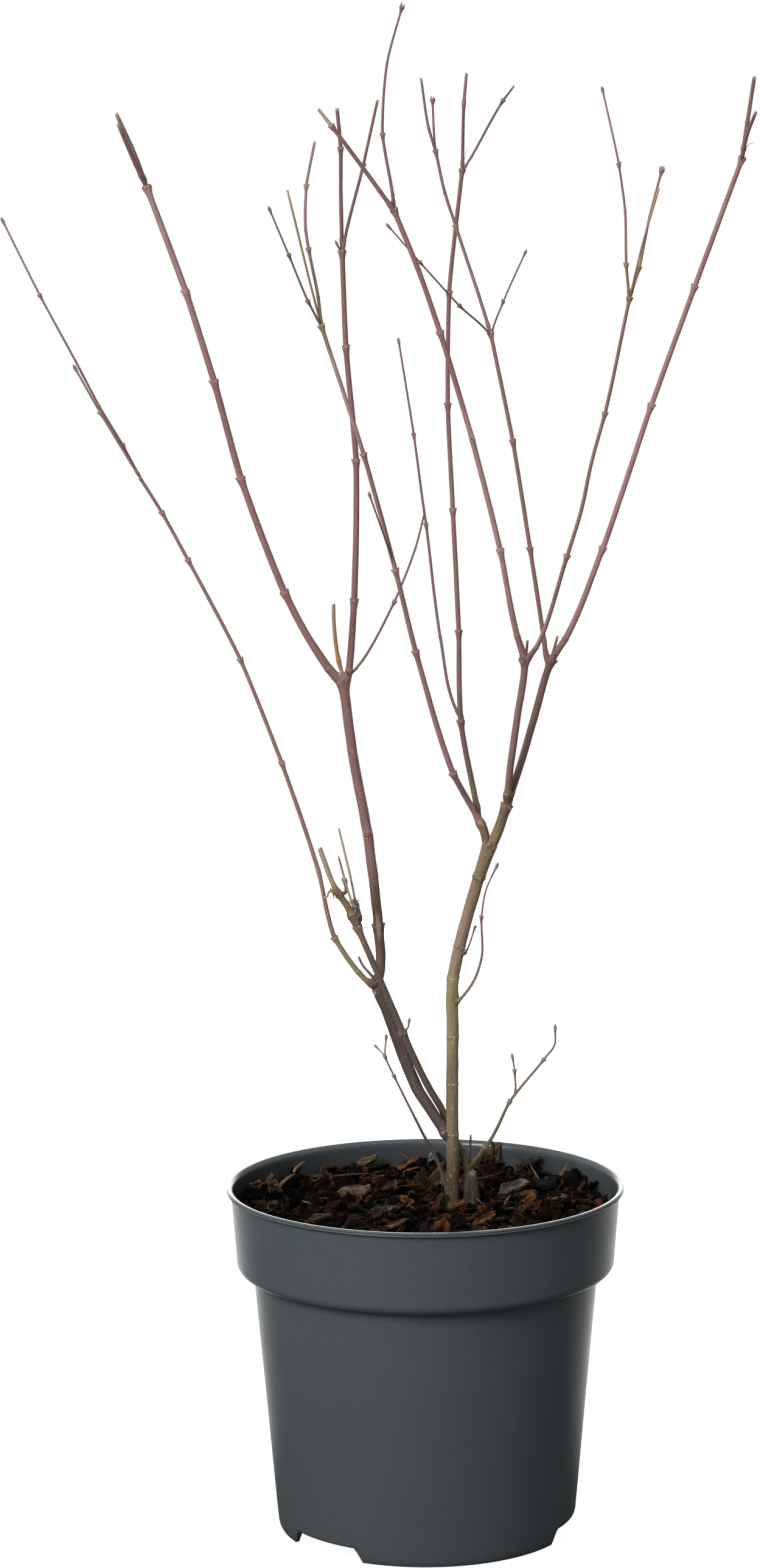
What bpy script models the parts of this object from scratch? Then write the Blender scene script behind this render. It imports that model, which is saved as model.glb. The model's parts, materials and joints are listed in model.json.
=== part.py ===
"""A Japanese maple in its winter state, bare, growing in a round plastic nursery pot.

Sizes are in millimetres and angles in degrees, and the model is built in metres with +Z up.
The origin is the middle of the pot's underside. +X is to the right, +Y away from the front.
A stem is a chain of internodes. Each one has a length, a lean to the right and a lean away,
both taken from upright, and the swelling of the joint that ends it.
"""

from math import cos, pi, radians, sin, tan
from random import Random

import bmesh
import bpy
import numpy as np
from mathutils import Matrix, Vector, noise

MM = 0.001
GAP = 0.3              # clearance between two pieces that touch

# The joint at the end of an internode, as a share of the stem's thickness
BEND = 1.0             # no swelling, the stem only changes direction
RING = 1.12            # a ring scar between two years' growth
NODE = 1.32            # a joint with an opposite pair of buds
SWELL_BELOW = 2.4      # the swelling starts this far below the joint
SWELL_ABOVE = 1.4      # and ends this far above it
RING_SPACING = 0.5     # two rings closer than this become one

# Pot
POT_HEIGHT = 202.0
RIM_RADIUS = 115.0
RIM_LIP_HEIGHT = 2.6
COLLAR_TOP_RADIUS = 112.4
COLLAR_FOOT_RADIUS = 108.8
COLLAR_FOOT_Z = 152.5
COLLAR_CORNER = 6.0
BODY_TOP_RADIUS = 99.8
BODY_FOOT_RADIUS = 87.0
FOOT_RADIUS = 85.3
FOOT_CORNER_Z = 10.0
WALL = 1.6
SKIRT_WALL = 2.6
FLOOR_Z = 9.0          # underside of the raised floor
FLOOR_THICK = 2.0
PAD_RADIUS = 30.0      # the middle of the floor comes down to the ground
POT_STEPS = 40
NOTCH_ANGLES = (-44.0, 76.0, 196.0)   # from the front, positive to the right
NOTCH_FOOT_WIDTH = 54.6
NOTCH_TOP_WIDTH = 44.6
NOTCH_HEIGHT = 8.0
DRAIN_HOLES = 6
DRAIN_RADIUS = 6.0
DRAIN_RING_RADIUS = 60.0

# Soil and the bark chips on it
SOIL_Z = 187.0         # mean height of the surface
FOOT_Z = 186.0         # the flat cut under each stem
SOIL_ROUGHNESS = 1.8
SOIL_RINGS = (14, 32, 50, 68, 86, 102)
CHIP_COUNT = 36
CHIP_REACH = 97.0
CHIP_CLEAR_OF_STEMS = 17.0
STEMS_CENTRE = (19.0, 9.0)

# Twigs
CAP_STEM = 2.6         # length of the swollen stem at a bough's last joint, which its twigs share
BUD_LENGTH = 2.6
BUD_THICK = 1.3
THIN = 1.5             # twigs thinner than this are four-sided


def shoot(legs, thick, ends="cut", forks=()):
    """One stem of a twig mass: its legs, (mm along, mm across) pairs, and its ending."""
    return dict(legs=legs, thick=thick, ends=ends, forks=forks)


LIMBS = {
    "trunk": dict(
        foot=(16, 6), sides=12,
        legs=[(44, 0, 0, NODE), (30, 0, -1, NODE), (28, 0.5, -1, NODE), (34, 0.5, -1, NODE),
              (20, 11.5, -4, RING), (42, 15.5, -3, NODE), (18, 18, -3, NODE)],
        thick=[(0, 7.2), (216, 6.8)], flare=[(0, 1.3), (4, 1.12), (12, 1.03), (24, 1.0)]),
    "second_stem": dict(
        foot=(25, 8), sides=10,
        legs=[(7, 0, 0, BEND), (18, -1, 13, BEND), (16, -28.5, 14, BEND), (20, -22, 1, BEND),
              (14, -29.5, -11, BEND), (21, -25, -10, BEND), (18, -22.5, -9, NODE),
              (29, -22, -5, BEND), (39, -22.5, -2, NODE)],
        thick=[(0, 5.6), (22, 7.2), (28, 6.0), (36, 4.6), (60, 4.2), (182, 3.6)]),
    "left_bough": dict(
        grows_from=("trunk", 39), sides=10,
        legs=[(8, -34, 12, RING), (15, -34, 12, BEND), (14, -33.5, 20, BEND),
              (19, -24, 17, BEND), (31, -21, 16, BEND), (13, -22.5, 9, BEND), (12, 8.5, 7, BEND),
              (25, -2.5, 6, NODE), (53, -6.3, 4, NODE), (47, -10.3, 5, BEND), (44, -7.2, 5, NODE)],
        thick=[(0, 6.4), (40, 6.9), (80, 6.6), (110, 5.8), (281, 5.7)]),
    "left_outer_bough": dict(
        grows_from=("left_bough", 281),
        legs=[(12, -53.5, -7, RING), (24, -31.5, -3, BEND), (27, -26.5, -4, NODE),
              (71, -20, -6, NODE), (58, -14.5, -6, NODE), (54, -16.5, -7, NODE),
              (63, -19.5, -7, NODE)],
        thick=[(0, 4.6), (36, 4.1), (65, 3.9), (190, 3.7), (309, 3.4)]),
    "left_inner_bough": dict(
        grows_from=("left_bough", 281), also_clear_of=["left_outer_bough"],
        legs=[(7, 32, 22, RING), (41, 4.5, 18, NODE), (82, 1, 14, NODE), (67, -5, 11, NODE),
              (56, -2, 8, NODE)],
        thick=[(0, 4.0), (60, 3.6), (253, 2.9)]),
    "whip_bough": dict(
        grows_from=("left_bough", 101),
        legs=[(8, -55.5, -36, RING), (8, -42, -20, NODE), (25, -32.5, -11, NODE),
              (44, -12, -16, RING), (70, -17, -14, NODE), (67, -20, -14, NODE),
              (67, -25.5, -18, NODE), (32, -26.5, -19, NODE), (24, -29.5, -23, RING)],
        thick=[(0, 3.5), (42, 2.9), (90, 2.5), (220, 2.1), (346, 1.8)]),
    "centre_left_bough": dict(
        grows_from=("trunk", 216), also_clear_of=["right_outer_bough"],
        legs=[(11, -14.5, 11, BEND), (4, -33.5, 18, NODE), (39, -26.5, -29, NODE),
              (79, -16, -18, NODE), (51, -13, -18, NODE), (70, -14.5, -15, NODE),
              (76, -17.5, -11, NODE)],
        thick=[(0, 5.4), (14, 4.8), (22, 3.3), (150, 2.8), (330, 2.2)]),
    "centre_back_bough": dict(
        grows_from=("centre_left_bough", 15), also_clear_of=["right_outer_bough"],
        legs=[(13, -11.5, 14, BEND), (46, -10.5, 8, NODE), (52, -1, 14, NODE),
              (71, -2.5, 16, NODE), (61, -2.5, 12, NODE), (65, 1, 11, NODE), (72, 6.5, 12, NODE)],
        thick=[(0, 3.5), (30, 3.2), (110, 2.8), (380, 2.3)]),
    "right_outer_bough": dict(
        grows_from=("trunk", 216),
        legs=[(11, 29, 5, BEND), (15, 19.5, 9, NODE), (8, 19, 9, RING), (12, 19.5, 9, BEND),
              (32, 17, 7, BEND), (33, 17, 8, NODE), (17, 32.5, 16, RING), (57, 23.5, 17, NODE),
              (87, 19.5, 13, NODE), (74, 21, 15, NODE), (80, 21, 12, NODE)],
        thick=[(0, 5.8), (26, 5.2), (40, 4.2), (111, 4.1), (135, 3.4), (200, 3.1), (426, 2.8)]),
    "right_inner_bough": dict(
        grows_from=("right_outer_bough", 26),
        legs=[(8, 5, -14, RING), (12, 5, -14, BEND), (33, 7.5, -6, BEND), (31, 7, -5, NODE),
              (17, -13, -7, RING), (51, -11, -8, NODE), (66, -14, -7, NODE),
              (62, -16.5, -5, NODE), (36, -19, -5, BEND), (37, -22, -3, NODE)],
        thick=[(0, 4.1), (84, 4.0), (100, 3.4), (140, 3.1), (353, 2.8)]),
    "right_front_bough": dict(
        grows_from=("right_inner_bough", 84),
        legs=[(5, 52, -34, BEND), (10, 22, -34, RING), (62, 17, -25, NODE),
              (29, 16, -18, BEND), (28, 11, -18, BEND), (30, 14.5, -15, NODE),
              (68, 11, -17, NODE)],
        thick=[(0, 2.9), (20, 2.5), (130, 2.0), (232, 1.9)]),
    "right_back_bough": dict(
        grows_from=("right_outer_bough", 111),
        legs=[(4, -33.5, -3, BEND), (10, -8, 6, RING), (53, -8.5, 5, NODE), (62, -9, 7, NODE),
              (63, -11.5, 7, NODE)],
        thick=[(0, 2.9), (20, 2.5), (192, 2.2)]),
}

# Twig masses. One at a bough's tip starts with a short swollen stem that its shoots share, and
# one beside a limb starts on the limb's centre line and is cut back to clear the limb's bark.
TWIGS = {
    "whip_tip_twigs": dict(tip_of="whip_bough", shoots=[
        shoot([(21, -27.5, 0, NODE), (22, -30.5, 0, BEND), (31, -26.5, -8, RING),
               (41, -27, -9, NODE), (45, -25, -9, BEND)], [(0, 1.5), (160, 0.9)], ends="bud"),
        shoot([(43, -30, -9, NODE), (28, -28, -9, BEND)], [(0, 1.3), (71, 1.0)], ends="bud")]),
    "left_outer_tip_twigs": dict(tip_of="left_outer_bough", shoots=[
        shoot([(15, -25.5, -16, RING), (24, -21.5, -13, BEND)], [(0, 2.4), (39, 2.2)]),
        shoot([(20, -17, 16, RING), (25, -27, 10, BEND)], [(0, 2.3), (45, 2.2)])]),
    "left_inner_tip_twigs": dict(tip_of="left_inner_bough", shoots=[
        shoot([(36, -1, 11, BEND), (24, 0, 10, NODE), (23, -5, 7, BEND)], [(0, 2.3), (83, 2.2)]),
        shoot([(52, 14.5, -9, NODE), (38, 13, -9, BEND)], [(0, 1.9), (90, 1.6)]),
        shoot([(6, -36.5, -35, BEND)], [(0, 1.0), (6, 0.8)], ends="bud")]),
    "centre_left_tip_twigs": dict(tip_of="centre_left_bough", shoots=[
        shoot([(16, -27.5, -23, NODE), (28, -21.5, -17, NODE), (27, -22, -14, BEND)],
              [(0, 1.3), (70, 0.9)], ends="bud"),
        shoot([(76, -14, 11, BEND)], [(0, 1.2), (76, 1.3)]),
        shoot([(16, -6, 17, RING), (28, -11.5, 22, NODE), (11, -9, 20, RING), (25, 1, 18, NODE),
               (25, 11, 19, BEND)], [(0, 1.8), (105, 1.5)])]),
    "centre_back_tip_twigs": dict(tip_of="centre_back_bough", shoots=[
        shoot([(38, 1.5, -7, NODE), (17, 5, -9, BEND)], [(0, 1.9), (55, 1.7)]),
        shoot([(9, 37, -11, RING), (39, 29.5, -22, NODE), (11, 37.5, -28, BEND)],
              [(0, 1.3), (59, 1.1)])]),
    "right_inner_tip_twigs": dict(tip_of="right_inner_bough", shoots=[
        shoot([(14, -37, -28, RING), (47, -36, -27, NODE), (12, -38, -23, BEND)],
              [(0, 2.5), (60, 2.2), (73, 1.7)]),
        shoot([(8, -2.5, 12, RING), (34, -9.5, 12, NODE), (40, 4, 12, RING),
               (33, 15.5, 10, NODE)], [(0, 1.9), (60, 1.5), (115, 1.1)], ends="pair")]),
    "right_front_tip_twigs": dict(tip_of="right_front_bough", shoots=[
        shoot([(19, -7, -17, NODE), (30, -2, -15, RING), (26, -8.5, -14, NODE),
               (41, -13, -11, BEND)], [(0, 1.7), (75, 1.3), (116, 0.9)], ends="bud"),
        shoot([(17, 18, 2, NODE), (28, 11.5, 4, RING), (26, 15, 5, NODE)],
              [(0, 1.5), (71, 1.3)], ends="pair"),
        shoot([(27, 12.5, -16, BEND), (35, 15.5, -10, BEND)], [(0, 0.9), (62, 1.2)])]),
    "right_back_tip_twigs": dict(tip_of="right_back_bough", shoots=[
        shoot([(64, -18, 9, NODE), (20, -18, -3, RING), (24, -12.5, -7, NODE),
               (14, -16.5, -17, RING), (29, -8.5, -16, BEND)], [(0, 2.0), (108, 1.7), (151, 1.3)],
              forks=[(108, shoot([(14, -4, 20, RING), (17, -2, 21, NODE)],
                                 [(0, 1.3), (31, 1.2)], ends="pair"))]),
        shoot([(26, -48.5, -34, NODE), (37, -41.5, -32, NODE), (29, -40.5, -27, BEND)],
              [(0, 1.2), (92, 0.8)], ends="bud"),
        shoot([(22, 24, 34, NODE), (34, 25.5, 30, BEND)], [(0, 1.1), (56, 0.9)], ends="bud")]),
    "right_outer_tip_twigs": dict(tip_of="right_outer_bough", shoots=[
        shoot([(22, 9, 18, RING), (26, 9.5, 13, BEND)], [(0, 2.6), (48, 2.2)]),
        shoot([(7, 6.5, -32, RING), (9, 12, -26, BEND), (14, 19, -27, BEND)],
              [(0, 2.1), (30, 1.9)])]),
    "second_stem_tip_twigs": dict(tip_of="second_stem", knob=1.75, shoots=[
        shoot([(13, -25.5, 0, BEND), (10, -33.5, -6, NODE), (28, -21, -7, BEND)],
              [(0, 3.2), (23, 2.8), (52, 2.3)]),
        shoot([(15, -4.5, 8, NODE), (42, -12.5, 8, BEND)], [(0, 2.4), (14, 1.5), (58, 0.9)],
              forks=[(9, shoot([(7, -24, -18, NODE), (14, -16, -12, NODE), (14, -13.5, -13, BEND)],
                               [(0, 1.5), (35, 0.8)], ends="bud"))])]),
    "left_fork_twig": dict(
        beside=("left_bough", 281), also_clear_of=["left_outer_bough", "left_inner_bough"],
        shoots=[shoot([(6, 53.5, 31, BEND), (5, 48, 37, RING), (46, 31, 24, NODE),
                       (35, 22.5, 26, RING), (23, 15.5, 33, BEND)],
                      [(0, 1.9), (11, 1.5), (115, 1.1)])]),
    "left_fork_stub": dict(
        beside=("left_bough", 281), also_clear_of=["left_outer_bough", "left_inner_bough"],
        shoots=[shoot([(7, -15, -26, BEND), (22, -8, -10, BEND), (18, -1.5, -13, BEND)],
                      [(0, 2.5), (47, 2.1)])]),
    "left_bend_stub": dict(
        beside=("left_bough", 103), also_clear_of=["whip_bough"],
        shoots=[shoot([(9, -35, -27, BEND), (6, -38.5, -12, BEND), (6, -24.5, -10, BEND)],
                      [(0, 1.8), (21, 1.5)])]),
    "centre_left_side_twig": dict(
        beside=("centre_left_bough", 184),
        shoots=[shoot([(51, -17.5, -27, BEND)], [(0, 1.1), (51, 0.9)], ends="bud")]),
    "centre_back_side_twig": dict(
        beside=("centre_back_bough", 61),
        shoots=[shoot([(49, -14, 16, RING), (65, -7, 11, NODE), (7, -8, 6, BEND),
                       (45, -7.5, 6, NODE), (54, -9, 7, BEND)],
                      [(0, 1.9), (120, 1.5), (220, 1.0)], ends="bud")]),
    "right_inner_fork_stub": dict(
        beside=("right_inner_bough", 84), also_clear_of=["right_front_bough"],
        shoots=[shoot([(7, 17, 38, BEND), (8, 7.5, 29, BEND)], [(0, 1.4), (15, 1.2)])]),
    "right_outer_fork_stub": dict(
        beside=("right_outer_bough", 111), also_clear_of=["right_back_bough"],
        shoots=[shoot([(6, 16.5, 42, BEND), (11, 15.5, 22, BEND)], [(0, 1.5), (17, 1.5)])]),
    "trunk_shoot": dict(
        beside=("trunk", 119),
        shoots=[shoot([(11, 40, -30, BEND), (12, 32, -24, BEND), (14, 18, -16, NODE),
                       (27, 0.5, -13, NODE), (16, 9, -11, BEND), (16, 23, -11, BEND)],
                      [(0, 1.7), (96, 1.0)], ends="bud")]),
    "trunk_bud_twig": dict(
        beside=("trunk", 148),
        shoots=[shoot([(9, 45, -41, BEND), (16, 19, -18, BEND)], [(0, 1.2), (25, 0.9)],
                      ends="bud")]),
    "left_foot_shoot": dict(
        foot=(13, 15),
        shoots=[shoot([(4, 0, 0, BEND), (14, -12, 7, BEND), (13, -22, 5, BEND),
                       (10, -28.5, -1, BEND), (14, -26, -4, RING), (29, -25, -7, NODE),
                       (13, -23, -9, NODE), (12, 3.5, -10, BEND)],
                      [(0, 2.3), (24, 2.1), (60, 1.5), (110, 1.0)], ends="bud",
                      forks=[(97, shoot([(8, -45, 25, BEND)], [(0, 0.9), (8, 0.8)],
                                        ends="bud"))])]),
    "right_foot_shoot": dict(
        beside=("second_stem", 22),
        shoots=[shoot([(6, 36.5, -17, BEND), (12, 34, -16, NODE), (7, 31, -12, BEND),
                       (25, 25, -10, NODE), (33, 37, -13, NODE), (11, 33.5, -13, BEND),
                       (10, 1.5, -5, BEND)],
                      [(0, 3.4), (12, 2.9), (25, 2.1), (50, 1.8), (104, 1.2)], ends="bud",
                      forks=[(55, shoot([(14, -0.5, 12, NODE), (8, -9, 15, BEND)],
                                        [(0, 1.3), (22, 1.1)], ends="bud"))])]),
    "stump_stub": dict(
        beside=("second_stem", 23), also_clear_of=["right_foot_shoot"],
        shoots=[shoot([(9, 5.5, -24, BEND), (13, 3, -9, BEND)], [(0, 1.4), (22, 1.2)])]),
}

BARK = {"trunk": (0.105, 0.093, 0.058), "second_stem": (0.085, 0.078, 0.045),
        "left_bough": (0.080, 0.052, 0.045)}
UPPER_BARK = (0.150, 0.085, 0.078)
TWIG_BARK = (0.165, 0.095, 0.085)
POT_COLOUR = (0.062, 0.072, 0.074)
SOIL_COLOUR = (0.050, 0.026, 0.015)


def clear_scene():
    for item in list(bpy.data.objects):
        bpy.data.objects.remove(item, do_unlink=True)


def new_collection(name):
    group = bpy.data.collections.new(name)
    bpy.context.scene.collection.children.link(group)
    return group


def finish(item, colour, roughness, metallic=0.0):
    """Gives a piece its own material."""
    skin = bpy.data.materials.new(item.name)
    skin.use_nodes = True
    shader = skin.node_tree.nodes["Principled BSDF"]
    shader.inputs["Base Color"].default_value = (*colour, 1)
    shader.inputs["Roughness"].default_value = roughness
    shader.inputs["Metallic"].default_value = metallic
    item.data.materials.clear()
    item.data.materials.append(skin)


def mesh_object(name, mesh, group):
    item = bpy.data.objects.new(name, mesh)
    group.objects.link(item)
    return item


def evaluated_mesh(item):
    """The piece's mesh with its modifiers or bevel worked out."""
    graph = bpy.context.evaluated_depsgraph_get()
    graph.update()
    return bpy.data.meshes.new_from_object(item.evaluated_get(graph))


def weld(mesh, outward=True):
    """Joins points that coincide, so that a tube's caps close it."""
    cage = bmesh.new()
    cage.from_mesh(mesh)
    bmesh.ops.remove_doubles(cage, verts=cage.verts, dist=0.000002)
    if outward:
        bmesh.ops.recalc_face_normals(cage, faces=cage.faces)
    cage.to_mesh(mesh)
    cage.free()


def as_cutter(item):
    item.hide_render = True
    item.display_type = "WIRE"
    return item


def add_boolean(item, operation, other):
    step = item.modifiers.new(operation.lower(), "BOOLEAN")
    step.operation = operation
    step.object = other
    return step


def heading(lean, back):
    """Direction of a stem that leans from upright by these angles, to the right and away."""
    return Vector((tan(radians(lean)), tan(radians(back)), 1)).normalized()


def trace(start, legs):
    """The points where a stem's internodes meet, from foot to tip."""
    points = [Vector(start)]
    for length, lean, back, _ in legs:
        points.append(points[-1] + heading(lean, back) * length)
    return points


def place_along(points, distance):
    """The point on a traced stem at a distance from its foot."""
    for near, far in zip(points, points[1:]):
        length = (far - near).length
        if distance <= length:
            return near.lerp(far, distance / length)
        distance -= length
    return points[-1].copy()


def shortened(legs, cut):
    """The same internodes with the last one cut short."""
    length, lean, back, joint = legs[-1]
    return legs[:-1] + [(length - cut, lean, back, joint)]


def thickness(thick, distance):
    return np.interp(distance, [along for along, _ in thick], [across for _, across in thick])


def rings_of(stem):
    """(point, radius) rings along a stem: its taper, its foot's flare and its swollen joints."""
    points, thick = stem["points"], stem["thick"]
    flare = stem.get("flare", [(0, 1.0)])
    rings = [(along, 1.0) for along, _ in flare]
    travelled = 0.0
    for leg in stem["legs"]:
        travelled += leg[0]
        swelling = leg[3]
        if swelling > BEND and leg[0] > 2 * SWELL_BELOW:
            rings.append((travelled - SWELL_BELOW, 1.0))
        rings.append((travelled, swelling))
        if swelling > BEND and leg is not stem["legs"][-1]:
            rings.append((travelled + SWELL_ABOVE, 1.0))
    rings.sort()
    spaced = []
    for along, swelling in rings:
        if spaced and along - spaced[-1][0] < RING_SPACING:
            continue
        spaced.append((along, swelling))
    result = []
    for along, swelling in spaced:
        wide = thickness(flare, along) if along <= flare[-1][0] else 1.0
        radius = thickness(thick, along) / 2 * swelling * wide
        result.append((place_along(points, along), radius))
    return result


def tube(name, rings, sides, group, grow=0.0):
    """A round stem through its rings, fatter and longer by grow at every side."""
    places = [place for place, _ in rings]
    places[0] = places[0] - (places[1] - places[0]).normalized() * grow
    places[-1] = places[-1] + (places[-1] - places[-2]).normalized() * grow
    curve = bpy.data.curves.new(name, "CURVE")
    curve.dimensions = "3D"
    curve.bevel_depth = MM
    curve.bevel_resolution = (sides - 4) // 2
    curve.use_fill_caps = True
    line = curve.splines.new("POLY")
    line.points.add(len(rings) - 1)
    for point, place, (_, radius) in zip(line.points, places, rings):
        point.co = (*(place * MM), 1)
        point.radius = radius + grow
    outline = bpy.data.objects.new(name, curve)
    group.objects.link(outline)
    mesh = evaluated_mesh(outline)
    bpy.data.objects.remove(outline, do_unlink=True)
    bpy.data.curves.remove(curve)
    weld(mesh)
    mesh.shade_smooth()
    mesh.set_sharp_from_angle(angle=radians(50))
    return mesh_object(name, mesh, group)


def bud(name, base, direction, length, thick, group):
    """A pointed bud: a cone from its base point along a direction."""
    cage = bmesh.new()
    bmesh.ops.create_cone(cage, cap_ends=True, segments=4, radius1=thick / 2 * MM,
                          radius2=0.12 * thick / 2 * MM, depth=length * MM)
    turn = direction.to_track_quat("Z", "Y").to_matrix().to_4x4()
    middle = (base + direction * (length / 2)) * MM
    bmesh.ops.transform(cage, matrix=Matrix.Translation(middle) @ turn, verts=cage.verts)
    mesh = bpy.data.meshes.new(name)
    cage.to_mesh(mesh)
    cage.free()
    return mesh_object(name, mesh, group)


def bud_pair(name, place, along, turn, radius, size, group):
    """Two opposite buds at a joint, lying close along the stem."""
    side = along.orthogonal().normalized()
    side.rotate(Matrix.Rotation(turn, 3, along))
    made = []
    for sign in (1, -1):
        direction = (along * 0.86 + side * sign * 0.5).normalized()
        base = place + side * (sign * radius * 0.35) - along * 0.4
        made.append(bud(name, base, direction, size * BUD_LENGTH, BUD_THICK, group))
    return made


def grow_shoot(name, start, plan, rng, group):
    """A twig with its buds and its own side twigs, as loose overlapping pieces."""
    points = trace(start, plan["legs"])
    stem = dict(points=points, legs=plan["legs"], thick=plan["thick"])
    widest = max(across for _, across in plan["thick"])
    sides = 4 if widest < THIN else 6
    pieces = [tube(name, rings_of(stem), sides, group)]
    turn = rng.uniform(0, pi)
    travelled = 0.0
    last = len(plan["legs"]) - 1
    for index, leg in enumerate(plan["legs"]):
        travelled += leg[0]
        along = heading(leg[1], leg[2])
        radius = thickness(plan["thick"], travelled) / 2
        if leg[3] == NODE and not (index == last and plan["ends"] == "cut"):
            size = rng.uniform(0.85, 1.15)
            pieces += bud_pair(name, points[index + 1], along, turn, radius, size, group)
            turn += pi / 2 + rng.uniform(-0.3, 0.3)
    if plan["ends"] == "bud":
        fat = max(BUD_THICK * 1.1, 2.2 * radius)
        pieces.append(bud(name, points[-1] - along * 1.2, along, 4.6, fat, group))
    for distance, side_plan in plan["forks"]:
        pieces += grow_shoot(name, place_along(points, distance), side_plan, rng, group)
    return pieces


def fuse(name, pieces, spare, group):
    """One solid from overlapping pieces, by a Boolean union on a collection."""
    first, rest = pieces[0], pieces[1:]
    others = bpy.data.collections.new(name + "_parts")
    spare.children.link(others)
    for piece in rest:
        spare.objects.unlink(piece)
        others.objects.link(piece)
    if rest:
        step = first.modifiers.new("fuse", "BOOLEAN")
        step.operation = "UNION"
        step.operand_type = "COLLECTION"
        step.collection = others
    mesh = evaluated_mesh(first)
    for piece in pieces:
        bpy.data.objects.remove(piece, do_unlink=True)
    bpy.data.collections.remove(others)
    weld(mesh, outward=False)
    return mesh_object(name, mesh, group)


def turned(name, profile, steps, group):
    """A solid of revolution: the profile, in mm, runs down its outer side."""
    mesh = bpy.data.meshes.new(name)
    corners = [(radius * MM, 0, z * MM) for radius, z in profile]
    mesh.from_pydata(corners, [(i, i + 1) for i in range(len(corners) - 1)], [])
    item = mesh_object(name, mesh, group)
    turn = item.modifiers.new("turn", "SCREW")
    turn.steps = steps
    turn.render_steps = steps
    turn.use_merge_vertices = True
    turn.merge_threshold = 0.00001
    return item


def body_radius(z):
    """Outer radius of the pot's body, a cone between its foot and the collar."""
    share = (z - FOOT_CORNER_Z) / (COLLAR_FOOT_Z - FOOT_CORNER_Z)
    return BODY_FOOT_RADIUS + (BODY_TOP_RADIUS - BODY_FOOT_RADIUS) * share


def collar_radius(z):
    """Outer radius of the collar, a cone from its rounded foot to the lip."""
    share = (z - COLLAR_FOOT_Z) / (POT_HEIGHT - RIM_LIP_HEIGHT - COLLAR_FOOT_Z)
    return COLLAR_FOOT_RADIUS + (COLLAR_TOP_RADIUS - COLLAR_FOOT_RADIUS) * share


def arc(centre_r, centre_z, radius, first, last, count):
    """Points on an arc, angles from +radius towards +z."""
    angles = np.radians(np.linspace(first, last, count))
    return [(centre_r + radius * cos(a), centre_z + radius * sin(a)) for a in angles]


def pot_inner_wall(inset):
    """Inside of the pot from the middle of its floor to the lip, moved in by an inset."""
    floor_top = FLOOR_Z + FLOOR_THICK
    step_top = COLLAR_FOOT_Z + WALL
    corner_top = step_top + COLLAR_CORNER * 0.7
    wall = WALL + inset
    return [(0, FLOOR_THICK + inset),
            (PAD_RADIUS - 2.2 - inset * 0.4, FLOOR_THICK + inset),
            (PAD_RADIUS + 3.5 - inset * 0.4, floor_top + inset),
            (body_radius(floor_top) - wall - 1.2, floor_top + inset),
            (body_radius(floor_top + 1.5) - wall, floor_top + inset + 1.5),
            (BODY_TOP_RADIUS - wall, step_top + inset),
            (collar_radius(step_top) - wall - COLLAR_CORNER * 0.7, step_top + inset + 0.3),
            (collar_radius(corner_top) - wall, corner_top)]


def make_pot(parts, cutters):
    lip_foot = POT_HEIGHT - RIM_LIP_HEIGHT
    inner = pot_inner_wall(0)
    rim = [(collar_radius(lip_foot) - WALL, lip_foot),
           (RIM_RADIUS - 2.7, POT_HEIGHT - 0.4),
           (RIM_RADIUS - 1.9, POT_HEIGHT),
           (RIM_RADIUS - 0.6, POT_HEIGHT - 0.1),
           (RIM_RADIUS, POT_HEIGHT - 0.9),
           (RIM_RADIUS - 0.1, lip_foot + 0.3),
           (collar_radius(lip_foot) + 0.6, lip_foot),
           (collar_radius(lip_foot - 0.8), lip_foot - 0.8)]
    corner_z = COLLAR_FOOT_Z + COLLAR_CORNER
    corner = arc(collar_radius(corner_z) - COLLAR_CORNER, corner_z, COLLAR_CORNER, 0, -90, 4)
    body = [(BODY_TOP_RADIUS + 0.6, COLLAR_FOOT_Z),
            (BODY_TOP_RADIUS - 0.1, COLLAR_FOOT_Z - 1.0),
            (body_radius(FOOT_CORNER_Z), FOOT_CORNER_Z),
            (FOOT_RADIUS + 0.8, 2.0),
            (FOOT_RADIUS, 0.6),
            (FOOT_RADIUS - 0.7, 0)]
    underside = [(FOOT_RADIUS - SKIRT_WALL, 0),
                 (FOOT_RADIUS - SKIRT_WALL, FLOOR_Z),
                 (PAD_RADIUS + 5.6, FLOOR_Z),
                 (PAD_RADIUS, 0),
                 (0, 0)]
    pot = turned("pot", inner + rim + corner + body + underside, POT_STEPS, parts)

    slot = pot_notch(cutters)
    for index, angle in enumerate(NOTCH_ANGLES):
        notch = as_cutter(mesh_object(f"notch_{index}", slot, cutters))
        notch.rotation_euler.z = radians(angle)
        add_boolean(pot, "DIFFERENCE", notch)
    for index in range(DRAIN_HOLES):
        angle = 2 * pi * index / DRAIN_HOLES
        hole = drain_hole(f"drain_hole_{index}", angle, cutters)
        add_boolean(pot, "DIFFERENCE", hole)
    finish(pot, POT_COLOUR, 0.5)
    return pot


def drain_hole(name, angle, cutters):
    """A round cutter through the raised floor."""
    cage = bmesh.new()
    bmesh.ops.create_cone(cage, cap_ends=True, segments=12, radius1=DRAIN_RADIUS * MM,
                          radius2=DRAIN_RADIUS * MM, depth=4 * FLOOR_THICK * MM)
    middle = Vector((DRAIN_RING_RADIUS * cos(angle), DRAIN_RING_RADIUS * sin(angle),
                     FLOOR_Z + FLOOR_THICK / 2))
    bmesh.ops.translate(cage, vec=middle * MM, verts=cage.verts)
    mesh = bpy.data.meshes.new(name)
    cage.to_mesh(mesh)
    cage.free()
    return as_cutter(mesh_object(name, mesh, cutters))


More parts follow.
